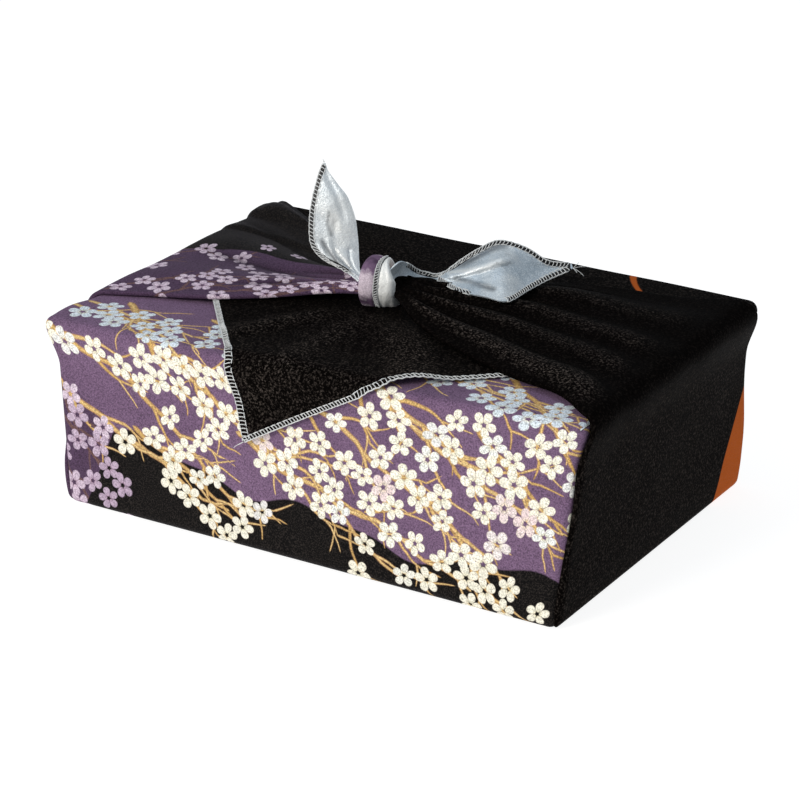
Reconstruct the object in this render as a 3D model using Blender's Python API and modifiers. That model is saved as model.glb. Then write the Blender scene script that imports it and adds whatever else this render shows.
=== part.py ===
"""A gift parcel wrapped in one square furoshiki, its two ears tied in a single knot on top.

The cloth is drawn as flat patterns: the front cover, the back cover with its hanging flap, and the two
ears. Each pattern is cut, laid over a sharp-edged block, eased round the block's edges, settled to the
parcel's own uneven form and thickened, so that it ends as one sheet. Sizes are in millimetres, and the
objects are made in metres. The parcel stands on z = 0 with its front at -Y.
"""

import math
from collections import namedtuple

import bmesh
import bpy
from mathutils import Vector

MM = 0.001

# Driving sizes. HALF_X, HALF_Y and TOP place the middle of the lowest layer of cloth.
HALF_X = 146.0
HALF_Y = 101.4
TOP = 100.0
ROUND = 4.5  # radius of the lowest layer over the edges of the box
THICK = 1.2  # the crepe cloth with its fold-over and nap
LAYER = 2.0  # from the middle of one layer to the middle of the next
LEVEL = THICK / 2  # middle of the base, so that its underside lies on z = 0
RIM = TOP - LEVEL  # length of a wall's cloth, from the base edge to the rim
DEPTH = 2 * HALF_Y  # length of cloth over the top, from the back rim to the front rim

WALL_IN_X = 2.6  # how far the cloth draws the walls in below the rim
WALL_IN_Y = 2.9
HOLD_LOW = 76.0  # heights between which the walls flare out to the rim
HOLD_HIGH = 97.0
LEAN_START = 8.0  # height where the walls begin to lean to their rim corners

MARGIN = 50.0  # width of the covers' margins on the end walls, at the rim
FRONT_REACH = 160.0  # how far the front cover runs back over the top
FRONT_FULL = 62.0  # how far it keeps its full width, before its edges turn in at 45 degrees
NEAR = 0.001  # points this near count as one

FLAP_TIP_X = -2.4  # the flap's tip on the flat cloth, and how far it hangs past the front rim
FLAP_DROP = 41.1
FLAP_SWING = -26.4  # how far the hanging tip is drawn sideways
FLAP_TURN = math.radians(40.6)  # between the flap's left edge and the parcel's depth
FLAP_CLEAR = 2.2  # extra room between the flap and the front rim

EDGING = 3.4  # the thread-bound edge: width, thickness and its gap to the cloth
EDGING_THICK = 1.9
GAP = 0.35

# The form's corners: how far each is moved at the foot and at the rim.
Corner = namedtuple("Corner", "side_x side_y foot_x foot_y rim_x rim_y rim_z")
CORNERS = [
    Corner(-1, -1, 1.0, -2.6, -3.3, -0.9, -1.7),
    Corner(1, -1, -5.4, 1.1, 5.0, 0.6, 4.5),
    Corner(1, 1, -0.5, 0.7, 0.4, -1.0, 2.0),
    Corner(-1, 1, 0.1, -0.5, 3.3, 0.7, 7.0),
]

# Sections across each ear. run is the cloth's length past the rim, and less than 0 on the end wall.
# front and back are the edges' places in depth, and a rise is an edge's height over the lowest layer.
Section = namedtuple("Section", "run front back front_rise back_rise")
FOOT = -RIM
CORE_Y = HALF_Y - ROUND
EAR_FOOT = [
    Section(FOOT - ROUND, -CORE_Y, CORE_Y, 0.0, 0.0),
    Section(FOOT, 1.6 - CORE_Y, CORE_Y - 1.6, 0.9, 0.9),
    Section(FOOT + ROUND, 1.4 - CORE_Y, CORE_Y - 1.4, 2.0, 2.0),
    Section(FOOT + 14, -100.6, 100.6, 2.3, 2.3),
]
LEFT_EAR = EAR_FOOT + [
    Section(-48.0, -92.0, 100.8, 2.4, 2.5),
    Section(-20.0, -76.0, 101.0, 2.4, 3.2),
    Section(0.0, -63.0, 99.0, 2.4, 4.4),
    Section(24.0, -55.0, 84.0, 3.2, 4.4),
    Section(45.0, -50.0, 68.0, 4.0, 4.6),
    Section(65.0, -44.0, 52.0, 4.8, 5.0),
    Section(82.0, -34.0, 38.0, 5.8, 6.0),
    Section(100.0, -25.0, 22.0, 7.6, 7.6),
    Section(118.0, -19.0, 10.0, 10.0, 10.0),
    Section(134.0, -18.0, 4.0, 12.0, 12.0),
]
RIGHT_EAR = EAR_FOOT + [
    Section(-48.0, -98.5, 100.6, 2.4, 2.5),
    Section(-16.0, -100.0, 96.0, 2.6, 3.4),
    Section(0.0, -96.0, 88.0, 3.4, 4.4),
    Section(24.0, -75.0, 76.0, 4.2, 4.4),
    Section(45.0, -70.0, 71.0, 4.4, 4.6),
    Section(62.0, -63.5, 69.0, 4.6, 4.8),
    Section(88.0, -51.5, 60.0, 5.2, 5.2),
    Section(106.0, -43.0, 45.0, 6.2, 6.2),
    Section(127.0, -31.0, 22.0, 8.6, 8.6),
    Section(142.0, -21.0, 9.0, 10.8, 10.8),
    Section(153.0, -16.0, 3.0, 12.0, 12.0),
]

# Folds that run along an ear. at_rim and at_knot are places across it, from 0 at the front edge to 1.
Fold = namedtuple("Fold", "at_rim at_knot half_width rim_height knot_height")
LEFT_FOLDS = [
    Fold(0.20, 0.24, 0.24, 2.4, 3.0),
    Fold(0.57, 0.60, 0.17, 2.4, 3.0),
    Fold(0.88, 0.86, 0.15, 7.0, 2.8),
]
RIGHT_FOLDS = [
    Fold(0.08, 0.18, 0.14, 4.2, 3.2),
    Fold(0.29, 0.44, 0.13, 2.4, 3.0),
    Fold(0.47, 0.66, 0.13, 2.2, 2.8),
    Fold(0.72, 0.88, 0.17, 1.8, 2.6),
]
FOLDS_START = -60.0  # the run where the folds begin to rise on the end wall
FOLDS_FULL = 22.0  # the run where they reach their full height, past the rim
WALL_SHARE = 0.2  # how much of it they have on the end wall
KNOT_RUN = 135.0  # the run where they reach their height at the knot

# Soft ridges that the knot pulls in the back cover, from the knot to the front rim.
Ridge = namedtuple("Ridge", "x_at_knot x_at_rim half_width height")
RIDGES = [
    Ridge(-20.0, -66.0, 15.0, 1.6),
    Ridge(-8.0, -8.0, 17.0, 1.4),
    Ridge(4.0, 64.0, 24.0, 2.4),
]
KNOT_DEPTH = 118.0  # the front of the knot along the back cover, past the back rim
RIDGE_START = 30.0  # length over which a ridge rises from the knot
RIDGE_END = 20.0  # length on either side of the front rim over which it sinks
RIM_SHARE = 0.3  # what is left of it past the rim

# Lengths over which the back cover lifts off the lowest layer, about the back and the front rim.
LIFT_START = -30.0
LIFT_FULL = 40.0
CLEAR_START = 34.0
WALL_LIFT = 70.0  # height where the back cover's margins lift off the end wall

# The knot: centre, and half sizes across the bands, in depth and in height.
KNOT_AT = Vector((-8.0, -8.0, 118.0))
KNOT_HALF = Vector((10.0, 12.5, 13.4))
KNOT_TURN = math.radians(31.0)
KNOT_GROOVE = 0.09  # depth of the waist between its two bands, as a share of the radius
KNOT_WAIST = 0.35  # half width of the waist, as a share of the half length
KNOT_FULLNESS = 0.55  # 1 for a ball, less for a fuller barrel

# The free tails: two edges of each section, from the knot to the tip.
Tail = namedtuple("Tail", "near_x near_y near_z far_x far_y far_z")
STANDING_TAIL = [
    Tail(-18.0, -10.0, 112.0, -13.0, -7.0, 113.0),
    Tail(-29.0, -10.5, 119.0, -22.6, -6.2, 118.4),
    Tail(-40.6, -11.5, 123.2, -26.0, -3.0, 122.6),
    Tail(-46.8, -11.8, 127.6, -28.0, -0.2, 127.0),
    Tail(-49.8, -11.3, 133.0, -29.2, 1.2, 132.4),
    Tail(-50.6, -9.9, 144.6, -31.4, 1.9, 144.0),
    Tail(-50.2, -7.6, 153.9, -35.4, 1.6, 153.7),
    Tail(-50.0, -5.0, 159.8, -40.4, 1.0, 159.4),
    Tail(-49.4, -2.2, 166.4, -45.8, 0.0, 166.4),
    Tail(-48.4, -0.3, 170.4, -47.8, 0.1, 170.4),
]
LYING_TAIL = [
    Tail(-4.0, -10.0, 117.0, -5.0, -12.0, 122.0),
    Tail(3.0, -4.0, 118.6, 2.0, -6.0, 124.0),
    Tail(5.0, 8.0, 116.4, 4.0, 6.0, 120.6),
    Tail(11.0, 17.0, 114.4, 10.0, 21.5, 118.0),
    Tail(28.2, 13.4, 113.6, 17.8, 28.1, 124.0),
    Tail(44.5, 10.1, 113.4, 25.5, 32.0, 129.0),
    Tail(55.6, 7.5, 113.2, 32.6, 39.2, 132.0),
    Tail(59.2, 33.3, 115.0, 45.5, 44.2, 129.0),
    Tail(62.4, 45.5, 117.0, 56.0, 48.9, 122.0),
    Tail(65.2, 55.5, 118.0, 64.3, 57.2, 119.0),
]
TAIL_THICK = 1.6
STANDING_CUP = 2.0  # how far a tail's middle bellies out of the line between its edges
LYING_CUP = -2.4
CUP_WIDTH = 20.0  # a tail this wide has its full belly
CUP_OUT = Vector((0.52, -0.80, 0.30))
LYING_CORNER = 6.0  # the section of the lying tail's lower corner
STANDING_FREE = 1.5  # the first section of each tail's thread-bound edge
LYING_FREE = 3.5
START_GAP = 0.12  # the thread-bound edges start this part of a section further on

CLOTH_COLOUR = (0.012, 0.010, 0.011, 1.0)
THREAD_COLOUR = (0.42, 0.44, 0.46, 1.0)


def clear_scene():
    for obj in list(bpy.data.objects):
        bpy.data.objects.remove(obj)


def make_collection(name):
    collection = bpy.data.collections.new(name)
    bpy.context.scene.collection.children.link(collection)
    return collection


def make_material(name, colour, roughness):
    material = bpy.data.materials.new(name)
    material.use_nodes = True
    shader = material.node_tree.nodes["Principled BSDF"]
    shader.inputs["Base Color"].default_value = colour
    shader.inputs["Roughness"].default_value = roughness
    shader.inputs["Metallic"].default_value = 0.0
    return material


def share(value, low, high):
    """0 at low, 1 at high, and held outside them."""
    return min(1.0, max(0.0, (value - low) / (high - low)))


def smooth(value, low, high):
    t = share(value, low, high)
    return t * t * (3 - 2 * t)


def bump(distance):
    """A rounded ridge: 1 in its middle and 0 from a distance of 1 on."""
    return math.cos(min(1.0, abs(distance)) * math.pi / 2) ** 2


def row_at(rows, place, key=None):
    """The table's row at a place: along its key column, or counted in rows."""
    keys = [getattr(row, key) for row in rows] if key else range(len(rows))
    last = len(rows) - 2
    i = next((i for i in range(last) if place < keys[i + 1]), last)
    t = share(place, keys[i], keys[i + 1])
    return type(rows[0])(*(a + (b - a) * t for a, b in zip(rows[i], rows[i + 1])))


def eased(point, layer):
    """A point of the sharp-edged block, moved to the rounded layer of cloth that lies over it."""
    limits = (HALF_X - ROUND, HALF_Y - ROUND)
    core = Vector([max(-limit, min(limit, value)) for limit, value in zip(limits, point)] + [0.0])
    core.z = max(LEVEL + ROUND, min(TOP - ROUND, point.z))
    return core + (point - core).normalized() * (ROUND + layer)


def settled(point):
    """A point of the even form, moved to the parcel's own: walls drawn in and corners shifted."""
    held = 1 - smooth(point.z, HOLD_LOW, HOLD_HIGH)
    across = point.x / HALF_X
    deep = point.y / HALF_Y
    up = share(point.z, LEAN_START, TOP)
    moved = point.copy()
    moved.x -= held * WALL_IN_X * across
    moved.y -= held * WALL_IN_Y * deep
    for corner in CORNERS:
        weight = (1 + corner.side_x * across) / 2 * (1 + corner.side_y * deep) / 2
        moved.x += weight * (corner.foot_x + (corner.rim_x - corner.foot_x) * up)
        moved.y += weight * (corner.foot_y + (corner.rim_y - corner.foot_y) * up)
        moved.z += weight * corner.rim_z * up
    return moved


def margin_width(beyond, run):
    """A margin starts at the foot of the wall and widens to the rim."""
    if beyond <= ROUND:
        return beyond
    return ROUND + (beyond - ROUND) * share(run, ROUND, RIM)


def front_cover(across, run):
    """Base edge, front wall with its margins on the end walls, and the lowest layer of the top."""
    side = math.copysign(1.0, across)
    if run < 0:
        place = Vector((across, -HALF_Y - run, LEVEL))
    elif run > RIM + NEAR:
        place = Vector((across, run - RIM - HALF_Y, TOP))
    elif abs(across) > HALF_X:
        beyond = margin_width(abs(across) - HALF_X, run)
        place = Vector((side * HALF_X, beyond - HALF_Y, LEVEL + run))
    else:
        place = Vector((across, -HALF_Y, LEVEL + run))
    return settled(eased(place, 0.0))


def back_layer(across, past):
    """Height of the back cover over the lowest layer, by its length past the back rim."""
    height = LAYER * smooth(past, LIFT_START, LIFT_FULL)
    height += FLAP_CLEAR * smooth(past, DEPTH - CLEAR_START, DEPTH)
    along = share(past, KNOT_DEPTH, DEPTH)
    fade = smooth(past, KNOT_DEPTH, KNOT_DEPTH + RIDGE_START)
    fade *= 1 - (1 - RIM_SHARE) * smooth(past, DEPTH - RIDGE_END, DEPTH + RIDGE_END)
    for ridge in RIDGES:
        middle = ridge.x_at_knot + (ridge.x_at_rim - ridge.x_at_knot) * along
        height += ridge.height * fade * bump((across - middle) / ridge.half_width)
    return height


def back_cover(across, run):
    """Base edge, back wall with its margins, the top and the flap that hangs over the front rim."""
    side = math.copysign(1.0, across)
    past = run - RIM
    layer = back_layer(across, past)
    if run < 0:
        place = Vector((across, HALF_Y + run, LEVEL))
    elif past > DEPTH:
        swing = FLAP_SWING * share(past, DEPTH, DEPTH + FLAP_DROP)
        place = Vector((across + swing, -HALF_Y, TOP - (past - DEPTH)))
    elif past > NEAR:
        place = Vector((across, HALF_Y - past, TOP))
    elif abs(across) > HALF_X:
        beyond = margin_width(abs(across) - HALF_X, run)
        place = Vector((side * HALF_X, HALF_Y - beyond, LEVEL + run))
        layer = back_layer(across, beyond) * smooth(run, WALL_LIFT, RIM)
    else:
        place = Vector((across, HALF_Y, LEVEL + run))
    return settled(eased(place, layer))


def fold_height(folds, place, run):
    """Height that an ear's folds add, at a place from 0 to 1 across it."""
    along = share(run, 0.0, KNOT_RUN)
    started = WALL_SHARE * smooth(run, FOLDS_START, 0.0)
    started += (1 - WALL_SHARE) * smooth(run, -ROUND, FOLDS_FULL)
    height = 0.0
    for fold in folds:
        middle = fold.at_rim + (fold.at_knot - fold.at_rim) * along
        crest = fold.rim_height + (fold.knot_height - fold.rim_height) * along
        height += started * crest * bump((place - middle) / fold.half_width)
    return height


def ear(side, sections, folds):
    """The pattern of one ear: base edge, end wall, and the gathered cloth up to the knot."""

    def laid(place, run):
        section = row_at(sections, run, "run")
        depth = section.front + (section.back - section.front) * place
        layer = section.front_rise + (section.back_rise - section.front_rise) * place
        layer += fold_height(folds, place, run)
        if run < FOOT:
            point = Vector((side * (HALF_X + run - FOOT), depth, LEVEL))
        elif run < 0:
            point = Vector((side * HALF_X, depth, TOP + run))
        else:
            point = Vector((side * (HALF_X - run), depth, TOP))
        return settled(eased(point, layer))

    return laid


def past_edge(at, *more):
    """Places of the cloth's lines that round an edge, with any further ones beyond it."""
    turn = ROUND * (1 - math.tan(math.radians(22.5)))
    return [at - ROUND, at - turn, at, at + turn, at + ROUND] + [at + step for step in more]


def both_sides(places):
    return [-place for place in reversed(places) if place > 0] + places


def flat_pattern(across, along):
    """A flat grid of cloth with its lines at the given places."""
    bm = bmesh.new()
    bmesh.ops.create_grid(bm, x_segments=len(across) - 1, y_segments=len(along) - 1, size=0.5)
    for vert in bm.verts:
        i = round((vert.co.x + 0.5) * (len(across) - 1))
        j = round((vert.co.y + 0.5) * (len(along) - 1))
        vert.co = Vector((across[i], along[j], 0.0))
    return bm


def cut(bm, point, outward, keep_both=False):
    """Cuts the flat pattern along a line, and drops what lies outside it."""
    geometry = bm.verts[:] + bm.edges[:] + bm.faces[:]
    bmesh.ops.bisect_plane(
        bm, geom=geometry, dist=1e-4, plane_co=point, plane_no=outward, clear_outer=not keep_both
    )


def drop_faces(bm, unwanted):
    faces = [face for face in bm.faces if unwanted(face.calc_center_median())]
    bmesh.ops.delete(bm, geom=faces, context="FACES")


def laid_out(bm, lay):
    for vert in bm.verts:
        vert.co = lay(vert.co.x, vert.co.y)


WALL_LINES = past_edge(0.0, 40.0, HOLD_LOW, 86.0) + past_edge(RIM, 17.0, 34.0, MARGIN)
COVER_LINES = both_sides([0.0, 24.0, 48.0, 72.0, 96.0, 120.0] + past_edge(HALF_X, 17.0, 34.0, MARGIN))


def front_pattern():
    bm = flat_pattern(COVER_LINES, WALL_LINES + [RIM + 70, RIM + 95, RIM + 125, RIM + FRONT_REACH])
    drop_faces(bm, lambda at: abs(at.x) > HALF_X and not 0 < at.y < RIM)
    for side in (-1, 1):
        cut(bm, Vector((side * HALF_X, RIM + FRONT_FULL, 0)), Vector((side, 1, 0)).normalized())
    laid_out(bm, front_cover)
    return bm


FLAP_TIP = Vector((FLAP_TIP_X, RIM + DEPTH + FLAP_DROP, 0))
FLAP_LEFT = Vector((-math.cos(FLAP_TURN), math.sin(FLAP_TURN), 0))
FLAP_RIGHT = Vector((math.sin(FLAP_TURN), math.cos(FLAP_TURN), 0))
FLAP_LINES = [RIM + step for step in (68, 86, 102, 118, 132, 146, 160, 174, 187)] + past_edge(
    RIM + DEPTH, 14.0, 24.0, 34.0, 44.0
)


def back_grid():
    bm = flat_pattern(COVER_LINES, WALL_LINES + FLAP_LINES)
    drop_faces(bm, lambda at: abs(at.x) > HALF_X and not 0 < at.y < RIM)
    return bm


def back_pattern():
    bm = back_grid()
    for outward in (FLAP_LEFT, FLAP_RIGHT):
        cut(bm, FLAP_TIP - outward * (EDGING + GAP), outward)
    laid_out(bm, back_cover)
    return bm


def flap_edging_pattern():
    """The thread-bound edge round the flap's corner, up to where the ears cover it."""
    bm = back_grid()
    for outward in (FLAP_LEFT, FLAP_RIGHT):
        cut(bm, FLAP_TIP, outward)
        cut(bm, FLAP_TIP - outward * EDGING, outward, keep_both=True)
    cut(bm, Vector((0, RIM + 128, 0)), Vector((0, -1, 0)))
    cut(bm, Vector((90.0, RIM + 170, 0)), Vector((1, -0.2, 0)).normalized())

    def inside(at):
        return all((at - FLAP_TIP).dot(outward) < -EDGING for outward in (FLAP_LEFT, FLAP_RIGHT))

    drop_faces(bm, inside)
    laid_out(bm, back_cover)
    return bm


EAR_COLUMNS = 22
EAR_WALL = past_edge(FOOT, 14.0, 40.0, 64.0, 80.0) + past_edge(0.0, 13.0, 24.0)
LEFT_LINES = EAR_WALL + [36.0, 48.0, 60.0, 72.0, 84.0, 95.0, 105.0, 114.0, 123.0, 132.0]
RIGHT_LINES = EAR_WALL + [38.0, 52.0, 66.0, 80.0, 92.0, 103.0, 113.0, 122.0, 131.0, 140.0, 149.0]


def ear_pattern(side, sections, folds, lines):
    places = [i / EAR_COLUMNS for i in range(EAR_COLUMNS + 1)]
    bm = flat_pattern(places, lines)
    laid_out(bm, ear(side, sections, folds))
    return bm


def tail_point(rows, cup, place, across):
    """A point of a tail: place counted in sections, and across from -1 at its near edge to 1."""
    row = row_at(rows, place)
    near = Vector((row.near_x, row.near_y, row.near_z))
    far = Vector((row.far_x, row.far_y, row.far_z))
    width = (far - near).length
    belly = cup * (1 - across**2) * share(width, 0.0, CUP_WIDTH)
    return near.lerp(far, (across + 1) / 2) + CUP_OUT * belly


def tail_width(rows, place):
    row = row_at(rows, place)
    return math.dist((row.near_x, row.near_y, row.near_z), (row.far_x, row.far_y, row.far_z))


def tail_band(rows, cup, places, low, high, columns=4):
    """Part of a tail, at the given places and between two functions of the place along it."""
    bm = flat_pattern([i / columns for i in range(columns + 1)], places)

    def laid(part, place):
        start, end = low(place), high(place)
        return tail_point(rows, cup, place, start + (end - start) * part)

    laid_out(bm, laid)
    return bm


def half_steps(first, last, gap=0.0):
    """Places half a section apart, the first of them moved on by a gap."""
    return [first + gap] + [first + step / 2 for step in range(1, round((last - first) * 2) + 1)]


def inset(rows, place, width, most=1.0):
    """How far in from an edge a width in millimetres lies, with a tail counted as 2 across."""
    return min(most, 2 * width / max(tail_width(rows, place), 0.01))


def joined(patterns):
    """The patterns as one bmesh, sewn where their edges meet."""
    whole = bmesh.new()
    for bm in patterns:
        mesh = bpy.data.meshes.new("pattern")
        bm.to_mesh(mesh)
        bm.free()
        whole.from_mesh(mesh)
        bpy.data.meshes.remove(mesh)
    bmesh.ops.remove_doubles(whole, verts=whole.verts, dist=0.01)
    bmesh.ops.dissolve_degenerate(whole, edges=whole.edges, dist=0.01)
    return whole


def fill_base(bm):
    """The flat base, inside the ring where the four patterns start."""
    level = min(vert.co.z for vert in bm.verts)
    ring = [edge for edge in bm.edges if edge.is_boundary and all(v.co.z < level + 0.01 for v in edge.verts)]
    bmesh.ops.contextual_create(bm, geom=ring)


def make_object(name, bm, collection, material):
    bm.normal_update()
    bmesh.ops.recalc_face_normals(bm, faces=bm.faces)
    bmesh.ops.scale(bm, vec=Vector((MM, MM, MM)), verts=bm.verts)
    mesh = bpy.data.meshes.new(name)
    bm.to_mesh(mesh)
    bm.free()
    mesh.materials.append(material)
    mesh.shade_smooth()
    obj = bpy.data.objects.new(name, mesh)
    collection.objects.link(obj)
    return obj


def thicken(obj, thickness):
    solidify = obj.modifiers.new("thickness", "SOLIDIFY")
    solidify.thickness = thickness * MM
    solidify.offset = 0.0
    solidify.use_even_offset = False


def unite(obj, other):
    union = obj.modifiers.new("join " + other.name, "BOOLEAN")
    union.operation = "UNION"
    union.solver = "MANIFOLD"
    union.object = other


def make_helper(name, bm, collection, material):
    obj = make_object(name, bm, collection, material)
    obj.hide_render = True
    obj.display_type = "WIRE"
    return obj


def knot_form():
    """The knot's two bands, drawn tight side by side round the necks of the ears."""
    bm = bmesh.new()
    bmesh.ops.create_uvsphere(bm, u_segments=18, v_segments=10, radius=1.0)
    for vert in bm.verts:
        x, y, z = vert.co.y, -vert.co.z, vert.co.x
        waist = 1 - KNOT_GROOVE * bump(x / KNOT_WAIST)
        ring = math.hypot(y, z) or 1.0
        full = min(1.0, ring) ** KNOT_FULLNESS * waist / ring
        vert.co = Vector((x * KNOT_HALF.x, y * full * KNOT_HALF.y, z * full * KNOT_HALF.z))
    turn = math.cos(KNOT_TURN), math.sin(KNOT_TURN)
    for vert in bm.verts:
        x, y = vert.co.x, vert.co.y
        vert.co.x = KNOT_AT.x + x * turn[0] - y * turn[1]
        vert.co.y = KNOT_AT.y + x * turn[1] + y * turn[0]
        vert.co.z += KNOT_AT.z
    return bm


def build_cloth(collection, helpers, material):
    patterns = [
        front_pattern(),
        back_pattern(),
        ear_pattern(-1, LEFT_EAR, LEFT_FOLDS, LEFT_LINES),
        ear_pattern(1, RIGHT_EAR, RIGHT_FOLDS, RIGHT_LINES),
    ]
    sheet = joined(patterns)
    fill_base(sheet)
    cloth = make_object("cloth", sheet, collection, material)
    thicken(cloth, THICK)

    def standing_edge(place):
        bound = inset(STANDING_TAIL, place, EDGING + GAP, 2.0)
        return -1 + bound * share(place, STANDING_FREE - 0.5, STANDING_FREE)

    standing = tail_band(STANDING_TAIL, STANDING_CUP, half_steps(0, 7.5), standing_edge, lambda place: 1.0)
    standing = make_helper("standing tail", joined([standing]), helpers, material)
    thicken(standing, TAIL_THICK)

    def lying_near(place):
        return -1 + inset(LYING_TAIL, place, EDGING + GAP) * share(place, LYING_CORNER - 0.5, LYING_CORNER)

    def lying_far(place):
        return 1 - inset(LYING_TAIL, place, EDGING + GAP) * share(place, LYING_FREE - 0.5, LYING_FREE)

    lying = tail_band(LYING_TAIL, LYING_CUP, half_steps(0, 7.5), lying_near, lying_far)
    lying = make_helper("lying tail", joined([lying]), helpers, material)
    thicken(lying, TAIL_THICK)
    knot = make_helper("knot", knot_form(), helpers, material)
    for other in (knot, standing, lying):
        unite(cloth, other)
    return cloth


def build_edging(collection, material):
    flap = make_object("edging_flap", joined([flap_edging_pattern()]), collection, material)
    thicken(flap, EDGING_THICK)

    def standing_inner(place):
        return -1 + inset(STANDING_TAIL, place, EDGING, 2.0)

    bound = half_steps(STANDING_FREE, len(STANDING_TAIL) - 1, START_GAP)
    standing = tail_band(STANDING_TAIL, STANDING_CUP, bound, lambda place: -1.0, standing_inner, 2)
    standing = make_object("edging_standing_tail", joined([standing]), collection, material)
    thicken(standing, EDGING_THICK)

    def upper_inner(place):
        return 1 - inset(LYING_TAIL, place, EDGING)

    def lower_inner(place):
        return -1 + inset(LYING_TAIL, place, EDGING)

    bound = half_steps(LYING_FREE, len(LYING_TAIL) - 1, START_GAP)
    upper = tail_band(LYING_TAIL, LYING_CUP, bound, upper_inner, lambda place: 1.0, 2)
    bound = half_steps(LYING_CORNER, len(LYING_TAIL) - 1, START_GAP)
    lower = tail_band(LYING_TAIL, LYING_CUP, bound, lambda place: -1.0, lower_inner, 2)
    lying = make_object("edging_lying_tail", joined([upper, lower]), collection, material)
    thicken(lying, EDGING_THICK)


def main():
    clear_scene()
    parcel = make_collection("furoshiki_parcel")
    helpers = make_collection("helpers")
    helpers.hide_render = True
    build_cloth(parcel, helpers, make_material("crepe cloth", CLOTH_COLOUR, 0.85))
    build_edging(parcel, make_material("binding thread", THREAD_COLOUR, 0.6))


main()
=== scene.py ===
import math

import bmesh
import bpy
import numpy as np
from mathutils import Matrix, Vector


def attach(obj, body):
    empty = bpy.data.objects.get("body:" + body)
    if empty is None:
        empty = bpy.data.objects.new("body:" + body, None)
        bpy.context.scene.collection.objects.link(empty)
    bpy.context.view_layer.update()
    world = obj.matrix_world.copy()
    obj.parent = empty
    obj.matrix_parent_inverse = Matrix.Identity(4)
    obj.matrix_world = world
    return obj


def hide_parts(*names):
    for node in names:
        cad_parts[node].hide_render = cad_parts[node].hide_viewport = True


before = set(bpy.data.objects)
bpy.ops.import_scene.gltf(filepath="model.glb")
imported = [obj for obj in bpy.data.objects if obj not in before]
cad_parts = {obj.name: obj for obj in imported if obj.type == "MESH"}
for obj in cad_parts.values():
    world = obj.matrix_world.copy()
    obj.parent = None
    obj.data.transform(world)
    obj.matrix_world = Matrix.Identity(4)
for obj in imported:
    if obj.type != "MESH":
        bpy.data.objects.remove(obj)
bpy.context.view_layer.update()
bpy.ops.object.select_all(action="DESELECT")
mm = 0.001  # the shapes below are in millimetres, the objects in metres
print("frame loaded")

# The parcel's form, the same as its solids have.
parcel = {
    "halfX": 146.0,  # middle of the lowest layer of cloth
    "halfY": 101.4,
    "top": 100.0,
    "level": 0.6,
    "edge": 4.5,  # radius of the cloth over the box's edges
    "layer": 1.8,  # from one layer to the next
    "drawnX": 2.6,  # how far the walls are drawn in below the rim
    "drawnY": 2.9,
    "flareLow": 76.0,
    "flareHigh": 97.0,
    "leanLow": 8.0,  # height where the corners begin to lean
    # side x, side y, then how far each corner is moved: foot x, foot y, rim x, rim y, rim z
    "corners": [
        (-1, -1, 1.0, -2.6, -3.3, -0.9, -1.7),
        (1, -1, -5.4, 1.1, 5.0, 0.6, 4.5),
        (1, 1, -0.5, 0.7, 2.4, -0.4, 2.0),
        (-1, 1, 0.1, -0.5, 3.3, 0.7, 7.0),
    ],
    # close to a corner: side x, side y, height, reach up and down, then how far it is moved: x, y, z
    "tucks": [(1, 1, 66.0, 40.0, -2.1, -1.2, 0.0), (-1, -1, 104.0, 30.0, -2.4, -0.4, 1.6)],
    "thickness": 0.7,
}
halfX, halfY, top, edge = parcel["halfX"], parcel["halfY"], parcel["top"], parcel["edge"]
rim = top - parcel["level"]  # cloth's length from the base edge to the rim
depth = 2 * halfY
near = 0.001
farthest = 1e9


def share(value, low, high):
    return np.clip((value - low) / (high - low), 0.0, 1.0)


def ease(value, low, high):
    t = share(value, low, high)
    return t * t * (3 - 2 * t)


def ridge(distance):  # 1 in its middle, 0 from a distance of 1 on
    return np.cos(np.minimum(1.0, np.abs(distance)) * math.pi / 2) ** 2


def waves(x, y, seed, size, count=9):  # soft random unevenness, mostly between -1 and 1
    draw = np.random.default_rng(seed)
    total = 0.0
    for turn, scale, phase in zip(
        draw.uniform(0, math.tau, count), draw.uniform(0.6, 1.5, count), draw.uniform(0, math.tau, count)
    ):
        total = total + np.sin(math.tau / size * scale * (x * math.cos(turn) + y * math.sin(turn)) + phase)
    return total / math.sqrt(2 * count)


def overParcel(x, y, z, layer):  # from the sharp-edged block to the cloth that lies over it
    place = np.stack(np.broadcast_arrays(x, y, z), 1).astype(float)
    inner = np.array([halfX - edge, halfY - edge])
    core = place.copy()
    core[:, :2] = np.clip(place[:, :2], -inner, inner)
    core[:, 2] = np.clip(place[:, 2], parcel["level"] + edge, top - edge)
    out = place - core
    out /= np.linalg.norm(out, axis=1, keepdims=True)
    point = core + out * (edge + np.broadcast_to(layer, len(place)))[:, None]
    held = 1 - ease(point[:, 2], parcel["flareLow"], parcel["flareHigh"])
    across, deep = (point[:, 0] / halfX + 1) / 2, (point[:, 1] / halfY + 1) / 2
    up = share(point[:, 2], parcel["leanLow"], top)
    moved = point.copy()
    moved[:, 0] *= 1 - held * parcel["drawnX"] / halfX
    moved[:, 1] *= 1 - held * parcel["drawnY"] / halfY

    def nearness(sideX, sideY):  # 1 at a corner
        return (across if sideX > 0 else 1 - across) * (deep if sideY > 0 else 1 - deep)

    for sideX, sideY, footX, footY, rimX, rimY, rimZ in parcel["corners"]:
        weight = nearness(sideX, sideY)
        moved[:, 0] += weight * (footX + (rimX - footX) * up)
        moved[:, 1] += weight * (footY + (rimY - footY) * up)
        moved[:, 2] += weight * rimZ * up
    for sideX, sideY, height, reach, *shift in parcel["tucks"]:
        weight = nearness(sideX, sideY) ** 4 * ridge((point[:, 2] - height) / reach)
        moved += weight[:, None] * np.array(shift)
    return moved


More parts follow.
